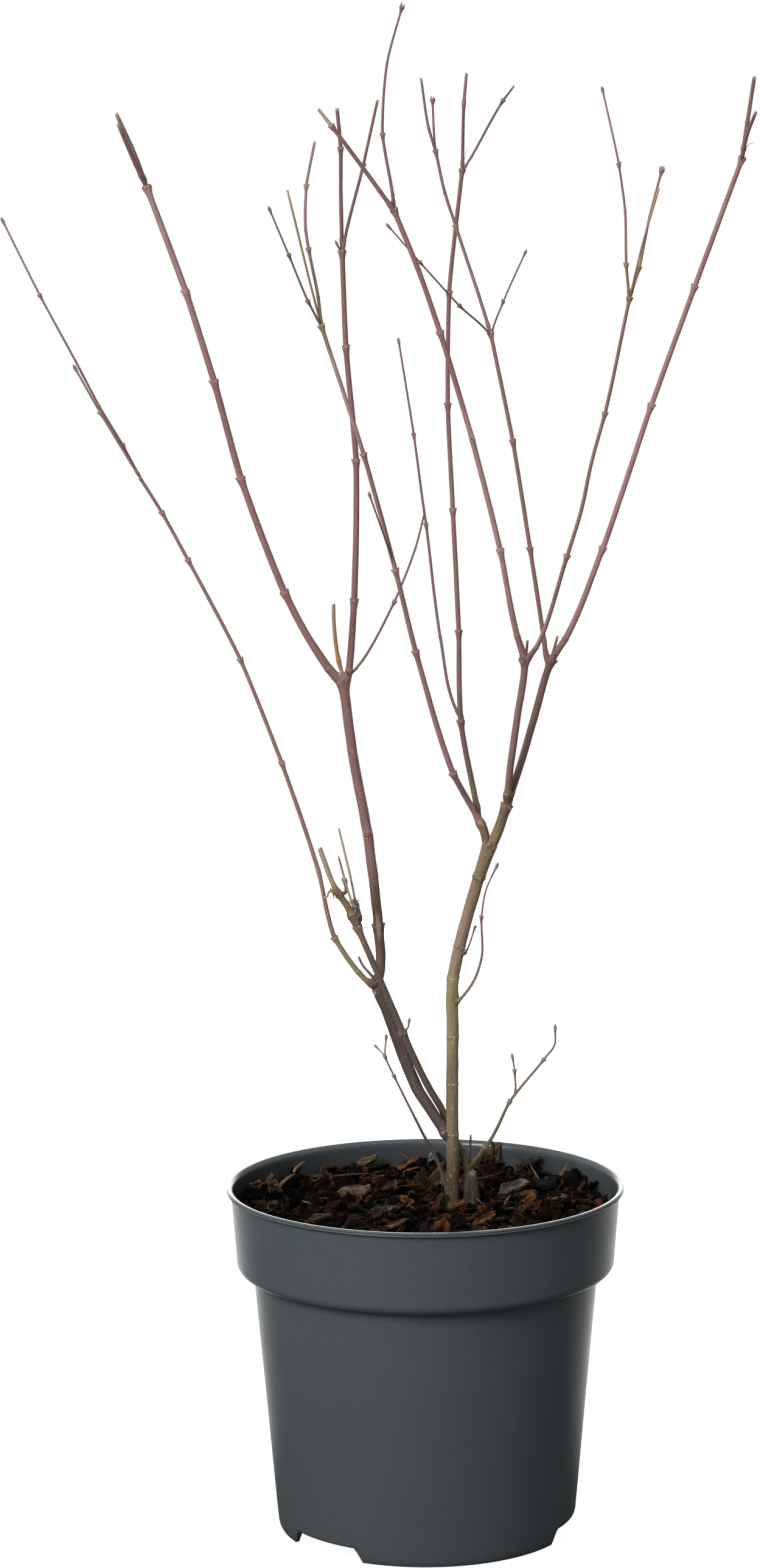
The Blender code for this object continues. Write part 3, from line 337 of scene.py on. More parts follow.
limbs = {
    "trunk": dict(
        foot=(16, 6),
        legs=[(44, 0, 0, "ring"), (30, 0, -1, "ring"), (28, 0.5, -1, "ring"), (34, 0.5, -1, "band"),
              (20, 11.5, -4, "ring"), (42, 15.5, -3, "ring"), (18, 18, -3)],
        thick={0: 7.3, 120: 7, 216: 6.8}, flare={-6: 1.5, 0: 1.3, 4: 1.12, 12: 1.03, 24: 1},
        tones={0: "trunkFoot", 19: "trunkLow", 47: "trunkWarm", 81: "trunkMid", 118: "trunkHigh",
               168: "trunkPink", 198: "trunkTop", 216: "trunkTop"}, over=2,
        knots=[(198, 3.6, 0.3, None, 0), (216, 4.4, 0.2, -95, 0), (156, 2.2, 0.15, -60, 0)],
        marks=[(128.5, -82, 12, 4.2, "lichen", 0.12), (124, -12, 7, 4, "knot", 0.5),
               (119, -95, 16, 5, "trunkGreen", 0), (96, -95, 8, 6, "trunkGreen", 0),
               (99, -80, 1.8, 1.2, "scar", 0.1), (60, -95, 1.1, 0.9, "scar", 0.1),
               (24, -75, 1.2, 0.8, "scar", 0.1), (20, -110, 1.1, 0.8, "scar", 0.1)], lenticels=190),
    "second_stem": dict(
        foot=(25, 8),
        legs=[(7, 0, 0), (18, -1, 13), (16, -28.5, 14), (20, -22, 1), (14, -29.5, -11),
              (21, -25, -10), (18, -22.5, -9, "node"), (29, -22, -5), (39, -22.5, -2, "node")],
        thick={0: 5.6, 20: 5.8, 30: 5.2, 36: 4.6, 60: 4.2, 182: 3.6},
        tones={0: "moss", 22: "moss", 34: "mossLight", 46: "stemMoss", 70: "stemGrey",
               110: "stemBrown", 160: "stemBrown", 178: "stemPale"}, lenticels=90),
    "left_bough": dict(
        grows=("trunk", 39), turns={7: 10, 8: 90},
        legs=[(8, -34, 12, "ring"), (15, -34, 12), (14, -33.5, 20), (19, -24, 17), (31, -21, 16),
              (13, -22.5, 9), (12, 8.5, 7), (25, -2.5, 6, "node"), (53, -6.3, 4, "node"),
              (47, -10.3, 5), (44, -7.2, 5, "node")],
        thick={0: 5.5, 10: 6.1, 40: 6.9, 80: 6.6, 110: 5.8, 281: 5.6},
        tones={0: "boughDark", 38: "boughDark", 62: "boughUmber", 95: "boughUmber", 115: "boughRed",
               150: "boughRed", 178: "boughRose", 215: "boughPink", 250: "boughTop",
               281: "boughTop"}, over=3, spread=0.45,
        knots=[(101, 6, 0.5, 180, 3), (280, 3.4, 0.25, -150, 0), (281, 3, 0.25, -40, 0)],
        marks=[(136.5, -88, 15, 2.3, "flake", 0.12), (190, -90, 3, 2.6, "wart", 0.3),
               (98, -140, 1.8, 3, "scar", 0.2), (103, -165, 2.6, 1.6, "scar", 0.2),
               (104, -95, 1.6, 1.6, "scar", 0.15)], lenticels=110),
    "left_outer_bough": dict(
        grows=("left_bough", 281), below=4.5, swell=0.08,
        legs=[(11, -50, -7, "ring"), (24, -32.5, -3), (27, -26.5, -4, "node"),
              (71, -20, -6, "node"), (58, -14.5, -6, "node"), (54, -16.5, -7, "node"),
              (63, -19.5, -7, "node")],
        thick={0: 5.2, 12: 4.9, 36: 4.2, 65: 3.9, 190: 3.7, 309: 3.4},
        tones={0: "boughTop", 20: "outerLow", 100: "outerMid", 180: "outerLow", 240: "outerHigh",
               309: "outerTop"}, lenticels=30),
    "left_inner_bough": dict(
        grows=("left_bough", 281), below=9, swell=0.05,
        legs=[(7, 32, 22, "ring"), (41, 4.5, 18, "node"), (82, 1, 14, "node"), (67, -5, 11, "node"),
              (56, -2, 8, "node")],
        thick={-8: 4.4, 0: 4.2, 10: 4, 60: 3.6, 253: 2.9},
        tones={0: "innerLow", 90: "innerRose", 128: "innerLow", 170: "innerRose", 215: "innerRose",
               253: "innerLow"}, lenticels=20),
    "whip_bough": dict(
        grows=("left_bough", 101), ends="node",
        legs=[(8, -55.5, -36, "ring"), (8, -42, -20, "ring"), (25, -32.5, -11, "node"),
              (44, -12, -16, "ring"), (70, -17, -14, "node"), (67, -20, -14, "node"),
              (67, -25.5, -18, "node"), (32, -26.5, -19, "node"), (24, -29.5, -23, "ring")],
        thick={0: 4.6, 3: 4.4, 7: 3.5, 42: 2.9, 90: 2.5, 220: 2.1, 346: 1.8},
        knots=[(4, 6, 0.35, None, 2)],
        tones={0: "boughUmber", 4: "boughUmber", 7: "olive", 10: "whipGreen", 38: "whipGreen",
               43: "midRose", 48: "whipTan", 90: "whipTan", 115: "whipRose", 250: "whipRose",
               346: "whipHigh"}, lenticels=20),
    "centre_left_bough": dict(
        grows=("trunk", 216), below=3.5, swell=0,
        legs=[(11, -17, 11), (4, -26.5, 18, "band"), (39, -26.5, -29, "node"),
              (79, -16, -18, "node"), (51, -13, -18, "node"), (70, -14.5, -15, "node"),
              (76, -17.5, -11, "node")],
        thick={-6: 5.6, 0: 5.2, 5: 4.8, 11: 5, 14: 5.2, 22: 3.5, 150: 2.8, 330: 2.2},
        tones={0: "trunkTop", 4: "forkBrown", 13: "forkBrown", 17: "frontRose", 28: "midRose",
               90: "midRose", 170: "upperPink", 190: "midRose", 250: "upperRose", 285: "upperTop",
               312: "upperTop", 318: "tanOlive", 330: "tanOlive"}, lenticels=30),
    "centre_back_bough": dict(
        grows=("centre_left_bough", 15),
        legs=[(13, -11.5, 14), (46, -10.5, 8, "node"), (52, -1, 14, "node"), (71, -2.5, 16, "node"),
              (61, -2.5, 12, "node"), (65, 1, 11, "node"), (72, 6.5, 12, "node")],
        thick={0: 3.5, 30: 3.2, 110: 2.8, 380: 2.3}, knots=[(60, 6, 0.3, 0, 1)],
        tones={0: "trunkTop", 6: "forkBrown", 16: "olive", 34: "backLow", 70: "backLow",
               110: "backRose", 240: "backRose", 290: "backHigh", 380: "backHigh"}, lenticels=30),
    "right_outer_bough": dict(
        grows=("trunk", 216), below=8, swell=0,
        legs=[(11, 29, 5), (15, 19.5, 9, "node"), (8, 19, 9, "ring"), (12, 19.5, 9), (32, 17, 7),
              (35, 17, 8, "node"), (15.1, 34.6, 17.2, "ring"), (57, 23.5, 17, "node"),
              (87, 19.5, 13, "node"), (74, 21, 15, "node"), (80, 21, 12, "node")],
        thick={-8: 6.7, 0: 6.5, 11: 6, 27: 5.2, 36: 4.4, 44: 4.2, 107: 4.1, 113: 4.6, 119: 3.9,
               135: 3.4, 200: 3.1, 426: 2.8}, knots=[(113, 4.5, 0.3, None, 1)],
        tones={0: "trunkTop", 8: "trunkTop", 20: "forkBrown", 36: "forkBrown", 48: "upperDark",
               60: "upperDark", 90: "upperBrown", 113: "upperBrown", 135: "upperRose",
               200: "upperPink", 426: "upperRose"}, lenticels=50),
    "right_inner_bough": dict(
        grows=("right_outer_bough", 26),
        legs=[(8, 5, -14, "ring"), (12, 5, -14), (33, 7.5, -6), (34, 7, -5, "node"),
              (14.2, -17.2, -7.4, "ring"), (51, -11, -8, "node"), (66, -14, -7, "node"),
              (62, -16.5, -5, "node"), (36, -19, -5), (37, -22, -3, "node")],
        thick={0: 4.1, 80: 3.9, 87: 4.5, 92: 4, 101: 3.4, 140: 3.1, 353: 2.8}, turns={6: 80},
        knots=[(87, 5, 0.35, None, 2)],
        tones={0: "forkBrown", 8: "forkBrown", 9.5: "olive", 12: "olive", 17: "upperBrown",
               87: "boughPink", 98: "boughPink", 104: "tanOlive", 110: "upperPink", 130: "midRose",
               225: "midRose", 250: "mauve", 353: "mauve"}, lenticels=50),
    "right_front_bough": dict(
        grows=("right_inner_bough", 87), below=3.5, swell=0,
        legs=[(3.5, 60, -45), (9, 31.5, -41.5, "ring"), (62, 17, -25, "node"), (29, 16, -18),
              (28, 11, -18), (30, 14.5, -15, "node"), (68, 11, -17, "node")],
        thick={-5: 3.9, 1: 3.9, 8: 2.9, 20: 2.5, 130: 2, 232: 1.9},
        tones={0: "boughPink", 8: "boughPink", 13: "tanOlive", 18: "midRose", 60: "frontRose",
               232: "frontRose"}, lenticels=10),
    "right_back_bough": dict(
        grows=("right_outer_bough", 113), below=3.5, swell=0,
        legs=[(4.6, -42, -4), (8, -8, 6, "ring"), (53, -8.5, 5, "node"), (62, -9, 7, "node"),
              (63, -11.5, 7, "node")],
        thick={-5: 3.9, 1: 3.9, 8: 2.9, 20: 2.5, 192: 2.2},
        tones={0: "upperBrown", 14: "boughPink", 22: "mauve", 192: "mauve"}, lenticels=10),
}


def shoot(legs, thick, tone="tipRose", forks=(), **more):
    # a twig: its internodes, its taper, its tone or tones and the side twigs on it
    return dict(legs=legs, thick=thick, forks=forks,
                tones={0: tone} if isinstance(tone, str) else tone, **more)


def stub(length, lean, back, foot, tip, **more):
    # a twig of one internode that tapers from foot to tip
    return shoot([(length, lean, back)], {0: foot, length: tip}, **more)


twigs = {
    "whip_tip_twigs": dict(tipOf="whip_bough", shoots=[
        shoot([(21, -27.5, 0, "node"), (22, -30.5, 0), (31, -26.5, -8, "ring"),
               (41, -27, -9, "node"), (45, -25, -9)], {0: 1.6, 160: 1}, ends="bud", tone="tipPale"),
        shoot([(43, -30, -9, "node"), (28, -28, -9)], {0: 1.4, 71: 1.1}, ends="bud",
              tone="tipPale")]),
    "left_outer_tip_twigs": dict(tipOf="left_outer_bough", shoots=[
        shoot([(15, -24.5, -16, "ring"), (24, -22, -13)], {0: 2.6, 39: 2.2}, tone="tipDark",
              pale=3),
        shoot([(20, -20.5, 16), (25, -24.5, 10)], {0: 2.5, 45: 2.2}, tone="tipDark", pale=2.5)]),
    "left_inner_tip_twigs": dict(tipOf="left_inner_bough", shoots=[
        shoot([(36, -1, 11), (24, 0, 10, "node"), (23, -5, 7)], {0: 2.3, 83: 2.2}, tone="tipDark"),
        shoot([(52, 14.5, -9, "node"), (38, 13, -9)], {0: 1.9, 90: 1.6}),
        stub(6, -36.5, -35, 1, 0.8, ends="bud")]),
    "centre_left_tip_twigs": dict(tipOf="centre_left_bough", shoots=[
        shoot([(16, -27.5, -23, "node"), (28, -21.5, -17, "node"), (27, -22, -14)],
              {0: 1.3, 70: 0.9}, ends="bud"),
        stub(76, -14, 11, 1.2, 1.2, tone={0: "tanOlive", 20: "olive", 62: "olive", 76: "paleStub"}),
        shoot([(16, -6, 17, "ring"), (28, -11.5, 22, "node"), (11, -9, 20, "ring"),
               (25, 1, 18, "node"), (25, 11, 19)], {0: 1.8, 105: 1.5},
              tone={0: "tanOlive", 14: "stemPale", 40: "tipPale"})]),
    "centre_back_tip_twigs": dict(tipOf="centre_back_bough", shoots=[
        shoot([(38, 1.5, -7, "band"), (17, 5, -9)], {0: 1.9, 38: 1.85, 55: 1.7},
              tone={0: "tipRose", 38: "tipRose", 42: "tipPale"}),
        shoot([(9, 37, -11, "ring"), (39, 29.5, -22, "node"), (11, 37.5, -28)],
              {0: 1.3, 48: 1.3, 59: 1.1})]),
    "right_inner_tip_twigs": dict(tipOf="right_inner_bough", shoots=[
        shoot([(14, -37, -28, "ring"), (47, -36, -27, "node"), (12, -38, -23)],
              {0: 2.5, 60: 2.2, 73: 1.7},
              tone={0: "upperRose", 61: "upperRose", 63: "scar", 73: "scar"}),
        shoot([(8, -2.5, 12, "ring"), (34, -9.5, 12, "node"), (40, 4, 12, "ring"),
               (32.2, 15.5, 10, "node")], {0: 1.9, 60: 1.5, 115: 1.1}, ends="pair")]),
    "right_front_tip_twigs": dict(tipOf="right_front_bough", shoots=[
        shoot([(19, -7, -17, "node"), (30, -2, -15, "ring"), (26, -8.5, -14, "node"),
               (41, -13, -11)], {0: 1.6, 75: 1.2, 116: 0.9}, ends="bud",
              tone={0: "tanOlive", 19: "tanOlive", 45: "upperPink"}),
        shoot([(17, 18, 2, "node"), (28, 11.5, 4, "ring"), (26, 15, 5, "node")], {0: 1.5, 71: 1.3},
              ends="pair", tone={0: "tanOlive", 20: "tanOlive", 34: "tipPale"}),
        shoot([(27, 12.5, -16), (35, 15.5, -10)], {0: 0.9, 62: 1.2},
              tone={0: "tanOlive", 40: "upperPink", 48: "tanOrange"}, pale=4)]),
    "right_back_tip_twigs": dict(tipOf="right_back_bough", shoots=[
        shoot([(64, -18, 9, "node"), (20, -18, -3, "ring"), (24, -12.5, -7, "node"),
               (14, -16.5, -17, "ring"), (29, -8.5, -16)], {0: 2, 108: 1.7, 151: 1.3},
              tone="tipPale", forks=[(108, shoot([(14, -4, 20, "ring"), (17, -2, 21, "node")],
                                                 {0: 1.3, 31: 1.2}, ends="pair"))]),
        shoot([(26, -48.5, -34, "node"), (37, -41.5, -32, "node"), (29, -40.5, -27)],
              {0: 1.2, 92: 0.8}, ends="bud"),
        shoot([(22, 24, 34, "node"), (34, 25.5, 30)], {0: 1.1, 56: 0.9}, ends="bud")]),
    "right_outer_tip_twigs": dict(tipOf="right_outer_bough", shoots=[
        shoot([(22, 9, 18, "ring"), (26, 9.5, 13)], {0: 2.6, 48: 2.2}, tone="innerLow"),
        shoot([(7, 6.5, -32, "ring"), (9, 12, -26), (14, 19, -27)], {0: 2.1, 30: 1.9},
              tone="innerLow")]),
    "second_stem_tip_twigs": dict(tipOf="second_stem", shoots=[
        shoot([(13, -25.5, 0), (10, -33.5, -6), (28, -21, -7)],
              {-6: 3, -2: 3.4, 1: 4.6, 10: 4.2, 18: 3.9, 21: 4.6, 25: 4, 29: 3.1, 52: 2.7},
              knots=[(5, 7, 0.5, None, 9), (22, 4, 0.3, None, 4)],
              tone={0: "stemPale", 8: "oliveBrown", 17: "oliveBrown", 21: "olive", 24: "stemPale",
                    30: "stickTan"}),
        shoot([(15, -4.5, 8), (42, -12.5, 8)], {-6: 2.4, -2: 3, 2: 4.2, 12: 3.2, 16: 1.5, 58: 1.2},
              knots=[(8, 12, 0.7, None, 14)], tone={0: "knot", 14: "knot", 18: "stickTan"},
              forks=[(9, shoot([(7, -24, -18, "node"), (14, -16, -12, "node"), (14, -13.5, -13)],
                               {0: 1.7, 12: 1.5, 35: 1},
                               tone={0: "stickTan", 22: "stickTan", 30: "tipPale"}))])]),
    "left_fork_twig": dict(beside=("left_bough", 281), shoots=[
        shoot([(6, 53.5, 31), (5, 48, 37, "ring"), (46, 31, 24, "node"), (35, 22.5, 26, "ring"),
               (23, 15.5, 33)], {0: 1.9, 11: 1.5, 115: 1.1})]),
    "left_fork_stub": dict(beside=("left_bough", 284), shoots=[
        shoot([(5, -15, -8), (22, -8, -10), (16, -1.5, -13)], {0: 2.4, 43: 2.1},
              tone={0: "scar", 2.2: "scar", 2.8: "tanOrange", 20: "tanOrange", 38: "paleStub"})]),
    "left_bend_stub": dict(beside=("left_bough", 103), shoots=[
        shoot([(9, -35, -27), (6, -38.5, -12), (6, -24.5, -10)], {0: 1.8, 21: 1.5},
              tone="deadGrey")]),
    "centre_left_side_twig": dict(beside=("centre_left_bough", 184), shoots=[
        stub(51, -17.5, -27, 1.1, 0.9, ends="bud")]),
    "centre_back_side_twig": dict(beside=("centre_back_bough", 61), shoots=[
        shoot([(5, -28, 16), (44, -12.5, 16, "ring"), (65, -7, 11, "node"), (7, -8, 6),
               (45, -7.5, 6, "node"), (54, -9, 7)], {0: 2.1, 5: 1.8, 120: 1.5, 220: 1}, ends="bud",
              tone="tipRose")]),
    "right_inner_fork_stub": dict(beside=("right_inner_bough", 87), shoots=[
        shoot([(4, 17, 38), (8, 7.5, 29)], {0: 1.6, 12: 1.4}, tone="olive")]),
    "right_outer_fork_stub": dict(beside=("right_outer_bough", 113), shoots=[
        shoot([(4, 16.5, 42), (11, 15.5, 22)], {0: 1.6, 15: 1.5}, tone="scarBrown")]),
    "trunk_shoot": dict(beside=("trunk", 119), shoots=[
        shoot([(11, 40, -30), (12, 32, -24), (14, 18, -16), (27, 0.5, -13, "node"), (16, 9, -11),
               (16, 23, -11)], {0: 2.4, 4: 2.6, 7: 2.1, 10: 1.8, 96: 1}, ends="bud",
              knots=[(5, 4, 0.3, None, 2)], tone={0: "knot", 8: "trunkPink", 40: "frontRose"})]),
    "trunk_bud_twig": dict(beside=("trunk", 148), shoots=[
        shoot([(9, 45, -41, "ring"), (16, 19, -18)], {0: 2.6, 4: 2.3, 8: 1.9, 9.5: 1.1, 25: 0.9},
              ends="bud", knots=[(7.5, 2.6, 0.25, None, 1)],
              tone={0: "trunkPink", 7: "stemBrown", 10: "boughRed"})]),
    "left_foot_shoot": dict(foot=(13, 15), shoots=[
        shoot([(4, 0, 0), (14, -12, 7), (13, -22, 5), (10, -28.5, -1), (14, -26, -4, "ring"),
               (29, -25, -7, "node"), (13, -23, -9, "node"), (12, 3.5, -10)],
              {0: 2.3, 24: 2.1, 60: 1.5, 110: 1}, ends="bud",
              tone={0: "footGrey", 40: "footGrey", 60: "twigGrey", 100: "twigPale"},
              forks=[(97, stub(8, -45, 25, 0.9, 0.8, ends="bud", tone="twigGrey"))])]),
    "right_foot_shoot": dict(beside=("second_stem", 22), shoots=[
        shoot([(6, 36.5, -17), (12, 34, -16, "node"), (7, 31, -12), (25, 25, -10, "node"),
               (33, 37, -13, "node"), (11, 33.5, -13), (10, 1.5, -5)],
              {0: 3.4, 12: 2.9, 25: 2.1, 50: 1.8, 104: 1.2}, ends="bud",
              tone={0: "moss", 12: "mossLight", 26: "twigGreen", 60: "twigPale"},
              forks=[(55, shoot([(14, -0.5, 12, "node"), (8, -9, 15)], {0: 1.3, 22: 1.1},
                                ends="bud", tone="twigGrey"))])]),
    "stump_stub": dict(beside=("second_stem", 23), shoots=[
        shoot([(9, 5.5, -24), (13, 3, -9)], {0: 1.4, 22: 1.2}, tone={0: "moss", 10: "footGrey"})]),
}

# short spurs on the stems, by the same rule: (stem, mm along it, shoot)
spurs = [
    ("second_stem", 114,
     shoot([(4, 50, -30), (5, 12, -8)], {0: 1.2, 9: 0.9}, ends="bud", tone="boughRose")),
    ("second_stem_tip_twigs/0", 21.5,
     shoot([(2.8, -76, -10), (2, -38, 0), (2.2, -120, 2), (3, -158, 0), (1.6, -95, 0)],
           {0: 2.6, 3: 1.9, 6: 1.5, 11.6: 0.9}, tone={0: "knot", 3: "hookBrown", 8: "tanOrange"})),
    ("spur/1", 5, stub(2, -30, 0, 1.1, 0.3, tone="boughRed")),
    ("spur/1", 3.4, stub(4.4, 176, 12, 0.6, 0.5, tone="deadGrey")),
    ("second_stem_tip_twigs/0", 21,
     shoot([(3.6, 66, 4), (6.6, 0, 6)], {0: 2.6, 3: 2, 10.2: 2.2}, ends="bud", tone="boughRed")),
    ("spur/4", 9.2, stub(1.6, -38, -14, 1.2, 1.2, ends="bud", tone="boughRed")),
    ("second_stem_tip_twigs/1", 13, stub(3.4, 42, -14, 1.5, 0.4, tone="knot")),
    ("second_stem_tip_twigs/1", 2,
     shoot([(2.6, 62, -20), (2.2, 10, 0)], {0: 1.3, 4.8: 0.4}, tone="stemBrown")),
    ("second_stem_tip_twigs/0", 12, stub(3.2, -8, -55, 1.6, 0.4, tone="knot")),
    ("second_stem_tip_twigs/1", 8, stub(3, -20, -62, 1.5, 0.5, tone="boughRed")),
    ("second_stem_tip_twigs/0", 6, stub(3, -70, 10, 1.3, 0.4, tone="knot")),
    ("left_bough", 136, stub(3.6, -54, -25, 1.3, 0.3, tone="upperDark")),
    ("whip_bough", 41, stub(3.2, 8, -24, 1, 0.3, tone="upperDark")),
    ("right_outer_bough", 425,
     shoot([(8, 22, 4), (3.5, 58, 8), (1.5, 80, 6)], {0: 0.5, 13: 0.25}, tone="deadGrey")),
    ("centre_back_bough", 380, stub(12, 12, -12, 0.4, 0.2, tone="paleStub")),
    ("second_stem", 179, stub(3.5, 58, -40, 0.9, 0.4, tone="deadGrey")),
    ("second_stem", 24, stub(6, 62, -50, 1.2, 0.4, tone="stemPale")),
    ("second_stem", 33, stub(5.5, 70, -30, 1, 0.4, tone="stemPale")),
    ("second_stem", 1,
     shoot([(4, 54, -58), (18, 0, 3)], {0: 5, 4: 6.2, 10: 5.6, 21: 5.1, 22: 4.7}, ends="node",
           tone={0: "moss", 22: "stumpMoss"})),
    ("spur/18", 20, stub(4.2, 30, -16, 1.6, 0.3, tone="knot")),
    ("spur/18", 20, stub(4.6, -14, -20, 1.5, 0.3, tone="bareWood")),
    ("spur/18", 20.5, stub(4, 8, 16, 1.8, 0.4, tone="stumpMoss")),
    ("right_outer_bough", 114, stub(5, 28, -40, 1.1, 0.4, tone="wart")),
    ("right_inner_bough", 88, stub(5, -38, -30, 1.1, 0.4, tone="wart")),
    ("centre_back_bough", 379, stub(5, 18, -20, 1, 0.3, tone="boughDark")),
]


def heading(lean, back):
    # the tangents of both leans beside a rise of one, or a drop of one for a lean past 90
    way = np.cos(radians(lean))
    return unit(np.array([np.sin(radians(lean)) / abs(way), np.tan(radians(back)), np.sign(way)]))


def growPath(start, legs, root, low):
    # A cubic between neighbouring joints. Its direction at a joint is the mean of both internodes,
    # weighted to the shorter, and goes part of the way back to straight at a ring or node. The
    # first internode may set off from a lower point, inside the parent, to make a merging fork.
    corners, kinds, spot = [np.array(root, float)], ["bend", "leave"], np.array(start, float)
    corners.append(np.array(low, float))
    for length, lean, back, *joint in legs:
        spot = spot + heading(lean, back) * length
        corners.append(spot)
        kinds.append(joint[0] if joint else "bend")
    corners = np.array(corners)
    steps = np.diff(corners, axis=0)
    lengths = np.linalg.norm(steps, axis=1)
    ways = steps / lengths[:, None]
    marks = np.concatenate([[0], np.cumsum(lengths)]) - lengths[:2].sum() + legs[0][0]
    between = unit(ways[:-1] * lengths[1:, None] + ways[1:] * lengths[:-1, None])
    flow = np.concatenate([ways[:1], between, ways[-1:]])
    stiff = np.array([stiffness[kind] for kind in kinds])[:, None]
    leave = flow[:-1] * (1 - stiff[:-1]) + ways * stiff[:-1]
    arrive = flow[1:] * (1 - stiff[1:]) + ways * stiff[1:]
    return dict(corners=corners, marks=marks, lengths=lengths, leave=leave, arrive=arrive,
                kinds=kinds)


def pointsOn(path, along):
    # points of the cubic at distances along the stem, and straight on past its ends
    marks, lengths = path["marks"], path["lengths"][:, None]
    along = np.atleast_1d(np.asarray(along, float))
    inside = np.clip(along, marks[0], marks[-1])
    leg = np.clip(np.searchsorted(marks, inside, side="right") - 1, 0, len(lengths) - 1)
    share = ((inside - marks[leg]) / path["lengths"][leg])[:, None]
    near, far = path["corners"][leg], path["corners"][leg + 1]
    points = (near * (1 + 2 * share) * (1 - share) ** 2 + far * share ** 2 * (3 - 2 * share)
              + lengths[leg] * (path["leave"][leg] * share * (1 - share) ** 2
                                + path["arrive"][leg] * share ** 2 * (share - 1)))
    return points + path["arrive"][-1] * (along - inside)[:, None]


def frameOn(path, along):
    # centre, direction, the side that stays to the right, and the side away
    along = np.atleast_1d(np.asarray(along, float))
    way = unit(pointsOn(path, along + 0.35) - pointsOn(path, along - 0.35))
    side = unit(np.cross(np.array([0.0, 1.0, 0.0]), way))
    return pointsOn(path, along), way, side, np.cross(way, side)


def spotOn(path, mark):
    # the same four for a single distance
    return (item[0] for item in frameOn(path, mark))


def readAlong(table, along):
    # the value between the two marks of a {mm along: value} table
    return np.interp(along, list(table), list(table.values()))


def barkColour(name):
    # a stem tone by its name
    return np.array(barkTones[name]) * barkGain


def bell(distance, wide):
    # exp(-(distance / wide) squared)
    return np.exp(-(distance / wide) ** 2)


def fade(distance, long):
    # exp(-size of distance / long)
    return np.exp(-np.abs(distance) / long)


def blended(tone, colour, share):
    # tone x (1 - share) + colour x share
    share = share[..., None]
    return tone * (1 - share) + colour * share


def turnedFrom(angle, face):
    # the angle from a side of the stem, between minus pi and pi
    return (angle - radians(face) + pi) % (2 * pi) - pi


budSpots, stemGrids, stemPaths = [], {}, {}
stemGrid = dict(step=0.8, facet=0.45, fewest=10, most=48, jointStep=0.2, jointReach=2.6,
                knotStep=0.05, knotReach=0.7)
thickWood = 2.0                             # radius from which rings are dashed
# a bud's length and width: at no radius, more for each millimetre of it, and at most
budSize = dict(long=1.15, longer=0.42, wide=0.80, wider=0.13, widest=1.3, tilt=25.0, sunk=0.5)
# how far a stem starts inside its parent or under the soil, and a twig below a tip
rooted = dict(parent=4.0, soil=6.0, tip=2.5)


def addBuds(path, mark, turn, radius, dice, reach=1.0, lift=budSize["tilt"]):
    # two opposite buds, set on the swollen joint and lying close along the stem
    centre, way, side, away = spotOn(path, mark)
    for flip in (0.0, pi):
        angle = turn + flip + dice.uniform(-0.12, 0.12)
        out = side * np.cos(angle) + away * np.sin(angle)
        tilt = radians(lift + dice.uniform(-5, 6))
        axis = way * np.cos(tilt) + out * np.sin(tilt)
        long = ((budSize["long"] + budSize["longer"] * radius) * reach
                * dice.uniform(0.75, 1.25))
        wide = min(budSize["wide"] + budSize["wider"] * radius, budSize["widest"])
        budSpots.append((centre + out * (radius + 0.06) - way * budSize["sunk"], axis, out, long,
                         wide * (0.7 + 0.3 * reach), 0.0))


def rowsAlong(first, last, joints, knots):
    # even rows, with closer ones at the joints, over the knots and at the tip
    reach, step = stemGrid["jointReach"], stemGrid["jointStep"]
    close = [mark + np.arange(-reach, reach + step / 2, step) for _, mark, _ in joints]
    reach, step = stemGrid["knotReach"], stemGrid["knotStep"]
    close += [at + np.arange(-reach, reach + 0.01, step) * long for at, long, *_ in knots]
    along = np.concatenate([np.arange(first, last, stemGrid["step"]),
                            last - np.arange(0, 1.4, 0.2)] + close)
    along = np.unique(np.round(np.clip(along, first, last), 1))
    return np.append(along[along < last - 0.09], last)


